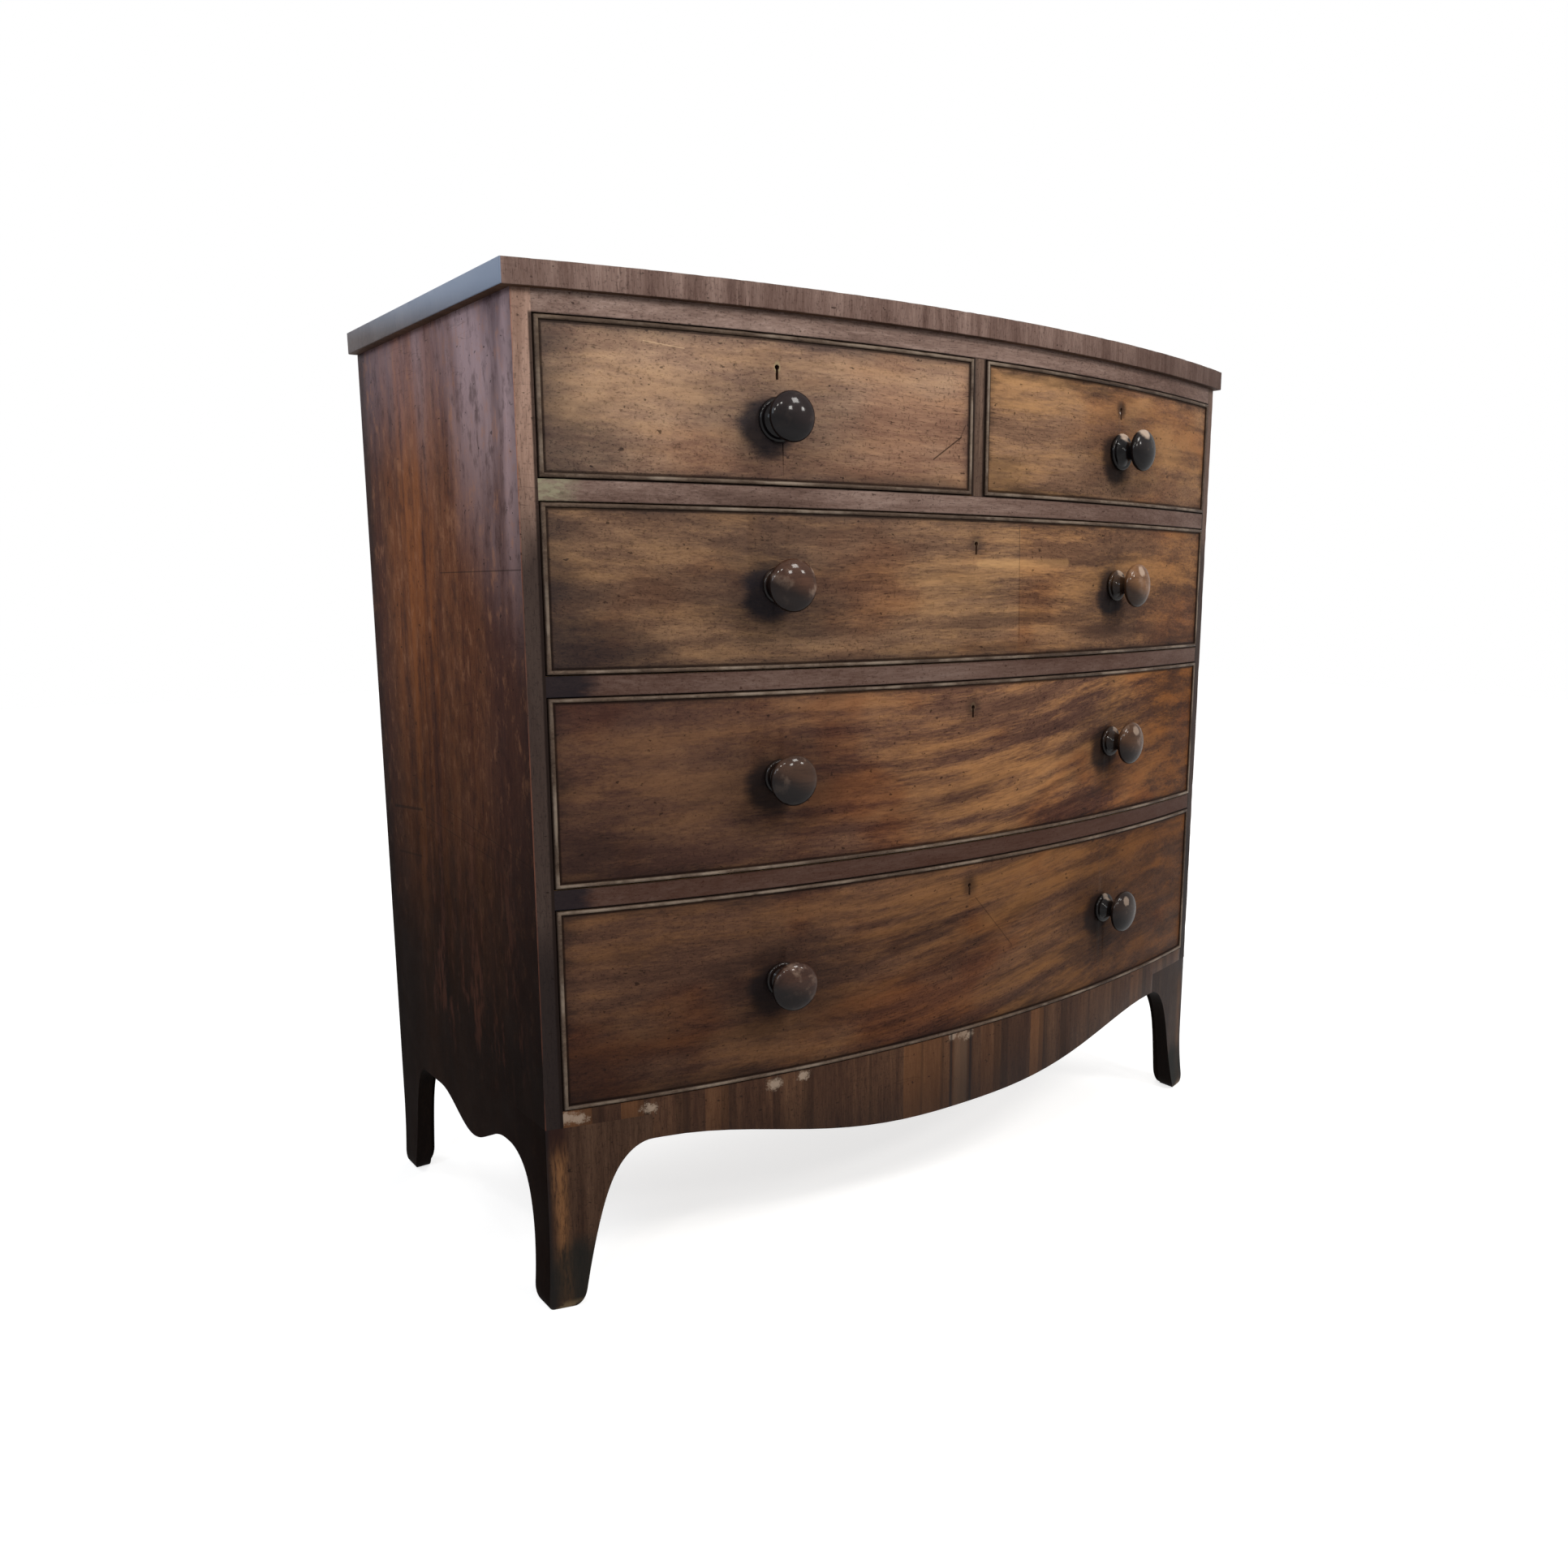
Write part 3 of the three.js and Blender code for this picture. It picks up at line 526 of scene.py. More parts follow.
def stile_material():
    """The front edges of the sides: golden brown beside the top row, black below it."""
    s = wood_base("stile_wood", "z", ((112, 86, 74), (150, 122, 108), (174, 146, 130)), 15.0)
    x, _, z = s.axes()
    drift = s.wobble(s.shifted, (12, 12, 4), 3, 0.6, 0.12)
    dark = s.fade(s.total(z, drift), 780, 880, 0.88, 0.0)
    dark = s.most(dark, s.fade(z, 360, 700, 0.96, 0.0))
    dark = s.most(dark, s.smooth(x, 0.0, 400 * MM, 0.0, 0.6))
    # Painted highlight: a reddish lit line along the outer arris
    lit_arris = s.times(s.band(s.size(x), 519.5 * MM, 530 * MM, 1.2 * MM),
                    s.patches(s.shifted, (50, 50, 9), 3, 0.6, 0.34, 0.56))
    s.tint(dark, (19, 16, 18))
    s.tint(s.times(lit_arris, 0.85), (128, 76, 58))
    # Painted shade in the gap beside the drawers, stopping at the top rail
    inner = s.smooth(s.size(x), INNER_HALF + 4 * MM, INNER_HALF + 2 * MM, 0.0, 0.85)
    inner = s.times(inner, s.smooth(z, RAIL_EDGES[1] + 4 * MM, RAIL_EDGES[1]))
    s.tint(inner, PORE_AND_SHADE)
    blemish(s)
    return finish_wood(s, gloss=0.42, dirt_and_shade=dark)


def rail_material():
    """Rails: dull grey brown, with black left ends below the second drawer and a rubbed one above it."""
    s = wood_base("rail_wood", "x", ((68, 53, 47), (104, 84, 76), (132, 111, 102), (160, 139, 129)), 11.0)
    blemish(s)
    # Painted shade towards the floor, partly dirt
    dirt_and_shade = shade_down(s, 400 * MM, 1080 * MM, 0.8, (50, 25, 15))
    x, _, z = s.axes()
    s.tint(s.fade(x, -150, 420, 0.0, 0.32), (62, 36, 26))
    # Painted shade: dark lines along the edges of the drawer openings
    for height in RAIL_EDGES:
        gap = s.size(s.minus(z, height))
        s.tint(s.fade(gap, 1.2, 2.6, 0.8, 0.0), PORE_AND_SHADE)
    wobble = s.wobble(s.shifted, (30, 30, 120), 4, 0.65, 44 * MM)
    for height, reach in ((656 * MM, 62 * MM), (446 * MM, 50 * MM)):
        black = s.spot((-0.507, height), reach * 0.55, reach, wobble)
        s.tint(s.times(black, 0.85), (22, 21, 26))
    rubbed = s.spot((-0.492, 0.847), 6 * MM, 26 * MM, wobble, squeeze=0.8)
    rubbed = s.times(rubbed, s.patches(s.shifted, (90, 90, 220), 4, 0.7, 0.40, 0.58, 0.35, 0.85))
    s.tint(rubbed, (132, 126, 104))
    return finish_wood(s, dirt_and_shade=dirt_and_shade)


def bead_material():
    """Cockbead: rubbed pale along its round nose in places, and painted shade in the corners on both sides
    of it.
    """
    s = wood_base("bead_wood", "x", ((48, 38, 33), (80, 66, 56), (112, 96, 82)), 31.0)
    x, y, _ = s.axes()
    reach = s.length(s.combine(x, s.minus(y, BOW_CENTRE), 0.0))
    proud = s.minus(reach, BOW_RADIUS)
    rub = s.patches(s.shifted, (16, 16, 16), 4, 0.65, 0.42, 0.66, 0.0, 0.6)
    rub = s.times(rub, s.fade(proud, 1.3, 2.2))
    s.tint(rub, (144, 130, 116))
    # Painted shade in the corners on both sides of the bead
    s.tint(s.fade(proud, 1.5, 0.5, 0.0, 0.8), PORE_AND_SHADE)
    return finish_wood(s)


def muntin_material():
    """The upright between the short drawers, with painted shade as dark lines along both its edges."""
    s = wood_base("muntin_wood", "z", ((56, 42, 36), (88, 70, 60), (118, 96, 82)), 19.0)
    x, _, _ = s.axes()
    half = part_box("muntin")[1].x
    # Painted shade in the gaps along both edges
    s.tint(s.smooth(s.size(x), half - 4 * MM, half - 1.5 * MM, 0.0, 0.85), PORE_AND_SHADE)
    blemish(s)
    return finish_wood(s)


def back_material():
    """Back boards: dusty softwood, each board in its own tone, with knots and rusty nails."""
    s = wood_base("back_wood", "z", ((84, 62, 42), (122, 92, 62), (152, 120, 84)), 7.0, figure=(1.2, 10.0))
    x, _, z = s.axes()
    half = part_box("back_board")[1].x
    width = 2 * half / BACK_BOARDS
    across = s.math("DIVIDE", s.math("ADD", x, half), width)
    own, other, _ = s.axes(s.cells(s.times(s.math("FLOOR", across), 7.3), 1.0))
    s.tint(s.times(own, 0.45), (92, 66, 44))
    s.tint(s.times(other, 0.3), (156, 132, 100))
    wobble = s.wobble(s.shifted, (40, 40, 14), 3, 0.6, 14 * MM)
    for centre, radius in BACK_KNOTS:
        s.tint(s.spot(centre, radius, radius * 2.4, wobble, squeeze=1.6), (96, 62, 36))
        s.tint(s.spot(centre, radius * 0.5, radius * 0.9, wobble), (48, 28, 18))
    cloud = s.patches(s.shifted, (5, 5, 3), 5, 0.68, 0.46, 0.74, 0.0, 0.5)
    low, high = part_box("back_board")
    edge = s.most(s.smooth(z, low.z + 90 * MM, low.z, 0.0, 0.6),
                  s.smooth(z, high.z - 25 * MM, high.z, 0.0, 0.4))
    dirt_and_shade = s.most(cloud, edge)
    s.tint(dirt_and_shade, (52, 42, 34))
    from_edge = s.minus(0.5, s.size(s.minus(s.math("FRACT", across), 0.5)))
    aside = s.minus(s.times(from_edge, width), BACK_NAIL_INSET)
    nails, stain = 0.0, 0.0
    for height in BACK_NAIL_ROWS:
        gap = s.length(s.combine(aside, s.minus(z, height), 0.0))
        nails = s.most(s.fade(gap, 2.0, 2.8, 1.0, 0.0), nails)
        stain = s.most(s.fade(s.total(gap, wobble), 2, 14, 0.6, 0.0), stain)
    s.tint(stain, (70, 44, 30))
    s.tint(nails, (38, 30, 27))
    blemish(s)
    return finish_wood(s, gloss=0.7, relief=0.6, dirt_and_shade=dirt_and_shade, specular=0.05)


def apron_material():
    """Narrow upright strips of veneer in changing tones, chipped along the top, with one pale repair."""
    s = wood_base("apron_wood", "z", ((42, 27, 20), (62, 42, 32), (82, 58, 43), (102, 74, 55)), 21.0,
                  figure=(3.0, 26.0))
    x, _, z = s.axes()
    shift = s.wobble(s.shifted, (10, 10, 3), 2, 0.5, 8 * MM)
    strip, _, _ = s.axes(s.cells(s.total(x, shift), 34))
    s.tint(s.smooth(strip, 0.30, 1.0, 0.0, 0.42), (40, 25, 21))
    s.tint(s.smooth(strip, 0.25, 0.0, 0.0, 0.30), (122, 80, 48))
    line = s.smooth(s.cells(s.total(x, shift), 34, "Distance"), 0.42, 0.5, 0.0, 0.35)
    s.tint(line, PORE_AND_SHADE)
    blemish(s)
    wobble = s.wobble(s.shifted, (150, 150, 150), 6, 0.85, 24 * MM)
    chips = 0.0
    for centre, near in APRON_CHIPS:
        chips = s.most(s.spot(centre, near * 0.35, near, wobble, squeeze=0.7), chips)
    s.tint(s.times(chips, 0.8), (150, 132, 116))
    left, right = APRON_REPAIR
    for place in (left, right):
        s.tint(s.times(s.band(x, place - 2 * MM, place + 2 * MM, 1.5 * MM), 0.75), GRIME_AND_SHADE)
    s.tint(s.times(s.band(x, left + 5 * MM, right - 5 * MM, 3 * MM), 0.35), (112, 90, 74))
    lower = s.fade(z, 205, 120, 0.0, 0.4)
    s.tint(lower, GRIME_AND_SHADE)
    return finish_wood(s, dirt_and_shade=lower)


def foot_material():
    """Front of the feet: a rubbed golden streak by the outer corner, dark towards the toe."""
    s = wood_base("foot_wood", "z", ((36, 24, 19), (56, 39, 30), (74, 54, 42), (94, 70, 54)), 25.0,
                  figure=(3.0, 30.0))
    x, _, z = s.axes()
    out = s.size(x)
    drift = s.wobble(s.shifted, (30, 30, 8), 3, 0.6, 14 * MM)
    streak = s.band(s.total(out, drift), 501 * MM, 512 * MM, 5 * MM)
    streak = s.times(streak, s.smooth(s.fibre, 0.3, 0.6), s.fade(z, 205, 165))
    s.tint(s.times(streak, 0.8), (124, 86, 56))
    upper = s.fade(s.total(z, s.times(drift, 1.5)), 150, 196)
    s.tint(s.times(upper, s.fade(out, 488, 507), 0.88), (36, 21, 19))
    blemish(s)
    corner = s.fade(s.total(out, s.times(drift, 0.4)), 514, 520, 0.0, 0.85)
    s.tint(s.most(corner, s.smooth(x, 0.0, 200 * MM, 0.0, 0.55)), GRIME_AND_SHADE)
    wobble = s.wobble(s.shifted, (30, 30, 30), 3, 0.6, 30 * MM)
    spots = [s.spot((side * 0.490, 0.035), 22 * MM, 52 * MM, wobble) for side in (1, -1)]
    dark = s.times(s.most(*spots), 0.8)
    s.tint(dark, (22, 26, 25))
    toe = s.times(s.fade(z, 12, 2), s.patches(s.shifted, (60, 60, 60), 3, 0.6, 0.42, 0.58), 0.7)
    s.tint(toe, (122, 104, 78))
    return finish_wood(s, gloss=0.5, dirt_and_shade=dark)


def top_edge_material():
    """The edge of the top: short upright grain in blocks, some of them red, with a painted bluish
    reflection at the left end.
    """
    s = wood_base("top_edge_wood", "z", ((72, 54, 49), (100, 80, 73), (124, 103, 95), (148, 126, 116)),
                  27.0, figure=(6.0, 40.0))
    x, y, z = s.axes()
    along = s.total(x, s.times(y, 0.7))
    block, other, _ = s.axes(s.cells(along, 17))
    s.tint(s.smooth(block, 0.2, 1.0, 0.0, 0.35), (70, 50, 44))
    s.tint(s.smooth(other, 0.78, 0.95, 0.0, 0.45), (146, 90, 66))
    blemish(s)
    s.tint(s.fade(x, -100, 500, 0.0, 0.40), (52, 36, 30))
    end = s.fade(x, -529, -530.5)
    s.tint(s.times(end, 0.75), (44, 34, 36))
    # Painted reflection: a bluish sheen near the front of the left end
    sheen = s.times(end, s.smooth(s.total(s.times(z, 9.0), s.times(y, -1.0)), 9.05, 9.48))
    s.tint(s.times(sheen, 0.9), (128, 140, 160))
    return finish_wood(s, gloss=0.40, specular=0.02)


# Meshes
def finish_mesh(mesh_data):
    for face in mesh_data.faces:
        face.smooth = True
    for edge in mesh_data.edges:
        edge.smooth = edge.calc_face_angle(0) < CREASE_TURN


def add_piece(name, mesh_data, body, materials, replaced):
    finish_mesh(mesh_data)
    mesh = bpy.data.meshes.new(name)
    mesh_data.to_mesh(mesh)
    mesh_data.free()
    for material in materials:
        mesh.materials.append(material)
    piece = add_object(name, mesh)
    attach(piece, body)
    if replaced:
        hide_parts(*replaced)


def add_carcass_piece(node, ending, mesh_data, materials):
    add_piece(node + ending, mesh_data, "carcass", materials, [node])


def skin(rows, ringed, made=None):
    """A closed mesh over rows of points, each row a loop; a ring joins its last row to its first."""
    if made is None:
        made = bmesh.new()
    points = [[made.verts.new(point) for point in row] for row in rows]
    count = len(rows[0])
    for index in range(len(rows) if ringed else len(rows) - 1):
        this, after = points[index], points[(index + 1) % len(rows)]
        for step in range(count):
            nearby = (step + 1) % count
            made.faces.new((this[step], this[nearby], after[nearby], after[step]))
    if not ringed:
        made.faces.new(points[0][::-1])
        made.faces.new(points[-1])
    bmesh.ops.recalc_face_normals(made, faces=made.faces)
    return made


def bow_y(x, inset=0.0):
    return BOW_CENTRE - math.sqrt((BOW_RADIUS - inset) ** 2 - x * x)


def bow_depth(point):
    """How far a point lies behind the bow."""
    return BOW_RADIUS - math.hypot(point.x, point.y - BOW_CENTRE)


def seat_on_bow(x, z):
    """Where something sits that stands square to the bow."""
    return Matrix.Translation((x, bow_y(x), z)) @ Matrix.Rotation(math.asin(x / BOW_RADIUS), 4, "Z")


def steps(low, high, count):
    return [low + (high - low) * index / count for index in range(count + 1)]


def quarter(count):
    """The angles of a quarter turn in equal steps."""
    return steps(0, math.pi / 2, count)


def slice_places(low, high, step):
    """Places between low and high, evenly spaced and at most step apart."""
    return steps(low, high, max(1, math.ceil((high - low) / step)))[1:-1]


def cad_copy(node):
    copied = bmesh.new()
    copied.from_mesh(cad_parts[node].data)
    bmesh.ops.remove_doubles(copied, verts=copied.verts, dist=WELD)
    bmesh.ops.dissolve_limit(copied, angle_limit=FLAT_TURN, verts=copied.verts, edges=copied.edges)
    return copied


def slice_mesh(made, axis, places):
    normal = Vector((0, 0, 0))
    normal[axis] = 1
    for place in places:
        parts = made.verts[:] + made.edges[:] + made.faces[:]
        bmesh.ops.bisect_plane(made, geom=parts, plane_co=normal * place, plane_no=normal, dist=SLICE_SNAP)


def lay_on_bow(made):
    """Moves the points of the chords onto the true bow."""
    for vert in made.verts:
        for inset in BOW_INSETS:
            true = bow_y(vert.co.x, inset)
            if abs(vert.co.y - true) < CHORD_GAP:
                vert.co.y = true
                break


def round_edges(made, wanted, width, segments=2):
    picked = [edge for edge in made.edges if edge.calc_face_angle(0) > EDGE_TURN and wanted(edge)]
    if picked:
        bmesh.ops.bevel(made, geom=picked, offset=width, segments=segments, affect="EDGES", profile=0.5,
                        clamp_overlap=True)


def on_bow(edge, inset=0.0):
    return all(abs(vert.co.y - bow_y(vert.co.x, inset)) < CHORD_GAP for vert in edge.verts)


def wear(made, near, depth, pitch, seed):
    """Pushes the points that near picks inwards by an uneven amount."""
    made.normal_update()
    shift = Vector((seed * 3.1, seed * 1.7, seed * 5.3))
    for vert in made.verts:
        if near(vert.co):
            amount = noise.noise(vert.co / pitch + shift)
            vert.co -= vert.normal * depth * max(0, amount + 0.1)


def bowed(node, step=BOW_STEP):
    made = cad_copy(node)
    low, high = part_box(node)
    slice_mesh(made, 0, slice_places(low.x, high.x, step))
    lay_on_bow(made)
    return made


# What each drawer front looks like: lengths in metres, tones from dark to light, shares of full strength
FRONT_LOOKS = {
    "upper_left_drawer": dict(
        tones=((88, 67, 57), (126, 99, 83), (150, 122, 101), (170, 142, 116)), gold=(172, 136, 100),
        rise=(0.8, 1.0), red=0.3, smudge=0.34, left_shade=0.0, right_shade=0.0, shade_from=300 * MM,
        edges=(64 * MM, 18 * MM, 22 * MM, 20 * MM), edge_dirt=0.8, corner=86 * MM, corner_dirt=0.66,
        halo=0.38, grime_and_shade=(32, 32, 37), hole_dirt=0.1, hole_rim=0.6,
        marks=[((-0.066, 0.891), (-0.026, 0.917), 1.1 * MM, 0.8, PORE_AND_SHADE),
               ((-0.020, 0.930), (-0.030, 0.912), 0.9 * MM, 0.5, PORE_AND_SHADE),
               ((-0.400, 0.985), (-0.360, 0.981), 0.8 * MM, 0.5, (190, 160, 128))]),
    "upper_right_drawer": dict(
        tones=((78, 57, 46), (112, 85, 68), (138, 107, 84), (158, 126, 98)), gold=(172, 130, 86),
        rise=(0.9, 1.2), red=0.35, smudge=0.3, left_shade=0.0, right_shade=0.32, shade_from=240 * MM,
        edges=(20 * MM, 18 * MM, 14 * MM, 22 * MM), edge_dirt=0.65, corner=45 * MM, corner_dirt=0.4,
        halo=0.5, hole_dirt=0.8, hole_rim=0.0,
        marks=[((0.259, 0.967), (0.262, 0.965), 1.6 * MM, 0.8, (176, 160, 150))]),
    "second_drawer": dict(
        tones=((68, 50, 41), (98, 74, 59), (124, 96, 75), (148, 117, 90)), gold=(178, 136, 92),
        rise=(0.6, 1.5), red=0.35, smudge=0.36, left_shade=0.15, right_shade=0.45, shade_from=240 * MM,
        edges=(54 * MM, 16 * MM, 22 * MM, 18 * MM), edge_dirt=0.76, corner=96 * MM, corner_dirt=0.7,
        halo=0.45, grime_and_shade=(28, 28, 33), hole_dirt=0.5, hole_rim=0.1, seam=0.072,
        marks=[((0.006, 0.779), (0.158, 0.782), 7 * MM, 0.26, (196, 156, 108)),
               ((0.070, 0.822), (0.074, 0.690), 0.8 * MM, 0.55, PORE_AND_SHADE)]),
    "third_drawer": dict(
        tones=((54, 37, 33), (84, 59, 49), (110, 80, 62), (134, 101, 77)), gold=(174, 125, 79),
        rise=(0.6, 1.5), red=0.45, smudge=0.34, left_shade=0.55, right_shade=0.95, shade_from=230 * MM,
        edges=(28 * MM, 12 * MM, 18 * MM, 14 * MM), edge_dirt=0.62, corner=90 * MM, corner_dirt=0.45,
        halo=0.45, hole_dirt=0.55, hole_rim=0.1, lift=(60 * MM, -0.15, 0.45), marks=[]),
    "bottom_drawer": dict(
        tones=((48, 33, 28), (78, 55, 44), (102, 73, 56), (126, 93, 69)), gold=(134, 93, 55),
        rise=(0.75, 1.3), red=0.45, smudge=0.36, left_shade=0.35, right_shade=0.8, shade_from=80 * MM,
        edges=(32 * MM, 12 * MM, 24 * MM, 16 * MM), edge_dirt=0.7, corner=120 * MM, corner_dirt=0.5,
        halo=0.5, hole_dirt=0.6, hole_rim=0.0, lift=(70 * MM, -0.2, 0.45),
        marks=[((0.010, 0.385), (0.075, 0.315), 0.9 * MM, 0.5, PORE_AND_SHADE)]),
}

RAIL_EDGES = [corner.z for drawer in ("upper_left_drawer", "second_drawer", "third_drawer", "bottom_drawer")
              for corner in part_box(drawer + "_front")]
LINING_TONES = ((104, 76, 46), (142, 108, 70), (170, 134, 92))
RAW_TONES = ((48, 32, 24), (72, 50, 38), (96, 70, 54))

# Marks on the sides, across the depth and up: two ends, half width, strength and colour
SIDE_MARKS = [
    ((0.040, 0.768), (-0.172, 0.769), 0.9 * MM, 0.6, PORE_AND_SHADE),
    ((0.236, 0.486), (0.140, 0.494), 2.6 * MM, 0.6, PORE_AND_SHADE),
    ((0.228, 0.430), (0.150, 0.436), 2.0 * MM, 0.45, PORE_AND_SHADE),
    ((0.130, 0.488), (-0.070, 0.470), 0.8 * MM, 0.5, PORE_AND_SHADE),
    ((0.060, 0.505), (-0.168, 0.478), 0.8 * MM, 0.5, PORE_AND_SHADE),
    ((0.205, 0.640), (0.204, 0.560), 0.8 * MM, 0.5, PORE_AND_SHADE),
    ((-0.080, 0.905), (-0.083, 0.880), 0.8 * MM, 0.6, PORE_AND_SHADE),
]

# Back boards: how many, their knots with a radius, and their nails
BACK_BOARDS = 5
BACK_KNOTS = [((-0.412, 0.842), 7 * MM), ((-0.118, 0.548), 9 * MM), ((0.336, 0.712), 6 * MM),
              ((0.142, 0.338), 8 * MM), ((-0.318, 0.306), 5 * MM), ((0.236, 0.936), 5 * MM)]
BACK_NAIL_INSET = 30 * MM
BACK_NAIL_ROWS = [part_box(node)[1].z - 12 * MM for node in
                  ("top_rail", "upper_divider", "middle_divider", "lower_divider", "bottom_board")]

# Chips along the top edge of the apron, across and up with their reach, and the sides of its repair
APRON_CHIPS = [((-0.500, 0.212), 9 * MM), ((-0.486, 0.210), 7 * MM), ((-0.414, 0.209), 7 * MM),
               ((-0.271, 0.210), 8 * MM), ((-0.236, 0.213), 7 * MM), ((-0.024, 0.216), 6 * MM),
               ((-0.006, 0.216), 7 * MM), ((0.004, 0.213), 6 * MM)]
APRON_REPAIR = (-25 * MM, 7 * MM)


def iron_material():
    s = new_material("lock_iron")
    rust = s.patches(s.place, (90, 90, 90), 5, 0.65, 0.45, 0.65)
    return s.finish({"Base Color": s.mix(rust, tone((74, 70, 66)), tone((78, 52, 38))),
                     "Roughness": s.smooth(rust, 0.0, 1.0, 0.42, 0.8),
                     "Metallic": s.smooth(rust, 0.0, 1.0, 0.9, 0.3),
                     "Normal": s.bump(rust, 0.4, 0.3 * MM)})


iron = iron_material()
lining_x = plain_wood("lining_across", "x", LINING_TONES, 3.0, 0.35, 0.7, 0.5)
lining_y = plain_wood("lining_along", "y", LINING_TONES, 5.0, 0.35, 0.7, 0.5)
back_wood = back_material()
raw_wood = plain_wood("raw_mahogany", "x", RAW_TONES, 9.0, 0.4, 0.65)
top_wood = plain_wood("top_wood", "x", ((56, 30, 22), (88, 52, 38), (116, 74, 54), (142, 98, 72)), 17.0,
                      0.35, 0.36, specular=0.2)
muntin_wood = muntin_material()
# Near-black wood for the back and inner faces of the feet: painted shade
foot_shaded_wood = plain_wood("foot_shaded_wood", "z", ((15, 11, 10), (25, 19, 16), (38, 29, 24)), 29.0, 0.4,
                            specular=0.01)
bead_wood = bead_material()
side_wood = side_material()
stile_wood = stile_material()
rail_wood = rail_material()
apron_wood = apron_material()
foot_wood = foot_material()
top_edge_wood = top_edge_material()

DRAWERS = ["upper_left_drawer", "upper_right_drawer", "second_drawer", "third_drawer", "bottom_drawer"]


def knobs_of(drawer):
    """The knob nodes of a drawer, each with its place across the chest."""
    if drawer == "upper_left_drawer":
        return [(drawer + "_knob", -KNOB_SPREAD)]
    if drawer == "upper_right_drawer":
        return [(drawer + "_knob", KNOB_SPREAD)]
    return [(drawer + "_left_knob", -KNOB_SPREAD), (drawer + "_right_knob", KNOB_SPREAD)]


def knob_centre(node, x):
    low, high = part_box(node)
    return x, (low.z + high.z) / 2


def lock_place(drawer):
    low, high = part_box(drawer + "_lock_bolt")
    x = (low.x + high.x) / 2
    short = abs(x) > KNOB_SPREAD / 2
    return math.copysign(KNOB_SPREAD, x) if short else 0.0


def knob_material(name, centre, seed, dark, light, worn, patch):
    """Turned knob: dark and glossy, rubbed paler in uneven places and most on one side of its rim, with
    painted shade below and behind its head.
    """
    s = wood_base(name, "x", (dark, light), seed, figure=(9.0, 60.0), grit=0.5)
    rub = s.patches(s.shifted, (45, 45, 45), 4, 0.6, 0.52, 0.72, 0.0, worn)
    s.tint(rub, (146, 122, 106))
    x, y, z = s.axes()
    # Painted shade: the lower left of the knob darker
    lower_side_shade = s.total(s.minus(z, centre[1]), s.times(s.minus(x, centre[0]), 0.5))
    s.tint(s.fade(lower_side_shade, 8, -16, 0.0, 0.88), (9, 7, 9))
    # Painted shade on the rose, neck and collar behind the head
    face = bow_y(centre[0])
    s.tint(s.smooth(y, face - HEAD_BACK, face - HEAD_RIM, 0.75, 0.0), (11, 9, 10))
    if patch is not None:
        place, near, strength = patch
        wobble = s.wobble(s.shifted, (90, 90, 90), 3, 0.6, 10 * MM)
        s.tint(s.times(s.spot(place, near * 0.5, near, wobble), strength), (188, 166, 148))
    return finish_wood(s, gloss=0.34, relief=0.12, specular=0.02, coat=0.26, coat_rough=0.09)


def knob_profile(radius, rose):
    """Radius and distance from the drawer face, from the middle of the seat to the middle of the head."""
    half = ROSE_THICKNESS / 2
    turn = quarter(6)
    profile = [(0.0, SEAT_GAP), (rose - half, SEAT_GAP)]
    for a in turn[1:]:
        profile.append((rose - half + half * math.sin(a), half - (half - SEAT_GAP) * math.cos(a)))
    for a in turn[1:]:
        profile.append((rose - half + half * math.cos(a), half + half * math.sin(a)))
    start = rose - half - ROSE_SHOULDER
    for share in steps(0, 1, 8):
        narrow = math.sin(math.pi / 2 * share)
        profile.append((start + (NECK_RADIUS - start) * narrow, ROSE_THICKNESS + NECK_LENGTH * share))
    for share in steps(0, 1, 8)[1:]:
        widen = (COLLAR_RADIUS - NECK_RADIUS) * share ** 2
        profile.append((NECK_RADIUS + widen, ROSE_THICKNESS + NECK_LENGTH + COLLAR_LENGTH * share))
    wide, deep = radius - COLLAR_RADIUS, HEAD_RIM - HEAD_BACK
    for a in turn[1:]:
        profile.append((COLLAR_RADIUS + wide * math.sin(a), HEAD_RIM - deep * math.cos(a)))
    for a in quarter(14)[1:-1]:
        profile.append((radius * math.cos(a), HEAD_RIM + (HEAD_FRONT - HEAD_RIM) * math.sin(a)))
    return profile + [(0.0, HEAD_FRONT)]


def make_knob(node, x, body, material):
    low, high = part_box(node)
    rose = SHORT_ROSE if len(knobs_of(body)) == 1 else LONG_ROSE
    profile = knob_profile((high.z - low.z) / 2, rose)
    made = bmesh.new()
    seat = seat_on_bow(x, (low.z + high.z) / 2)
    loops = []
    for reach, out in profile:
        angles = steps(0, 2 * math.pi, KNOB_SIDES)[:-1] if reach > 0 else [0.0]
        loops.append([made.verts.new(seat @ Vector((reach * math.cos(a), -out, reach * math.sin(a))))
                      for a in angles])
    for this, after in zip(loops, loops[1:]):
        for side in range(KNOB_SIDES):
            nearby = (side + 1) % KNOB_SIDES
            corners = [this[side % len(this)], this[nearby % len(this)], after[nearby % len(after)],
                       after[side % len(after)]]
            made.faces.new(list(dict.fromkeys(corners)))
    bmesh.ops.recalc_face_normals(made, faces=made.faces)
    add_piece(node + "_turned", made, body, [material], [node])


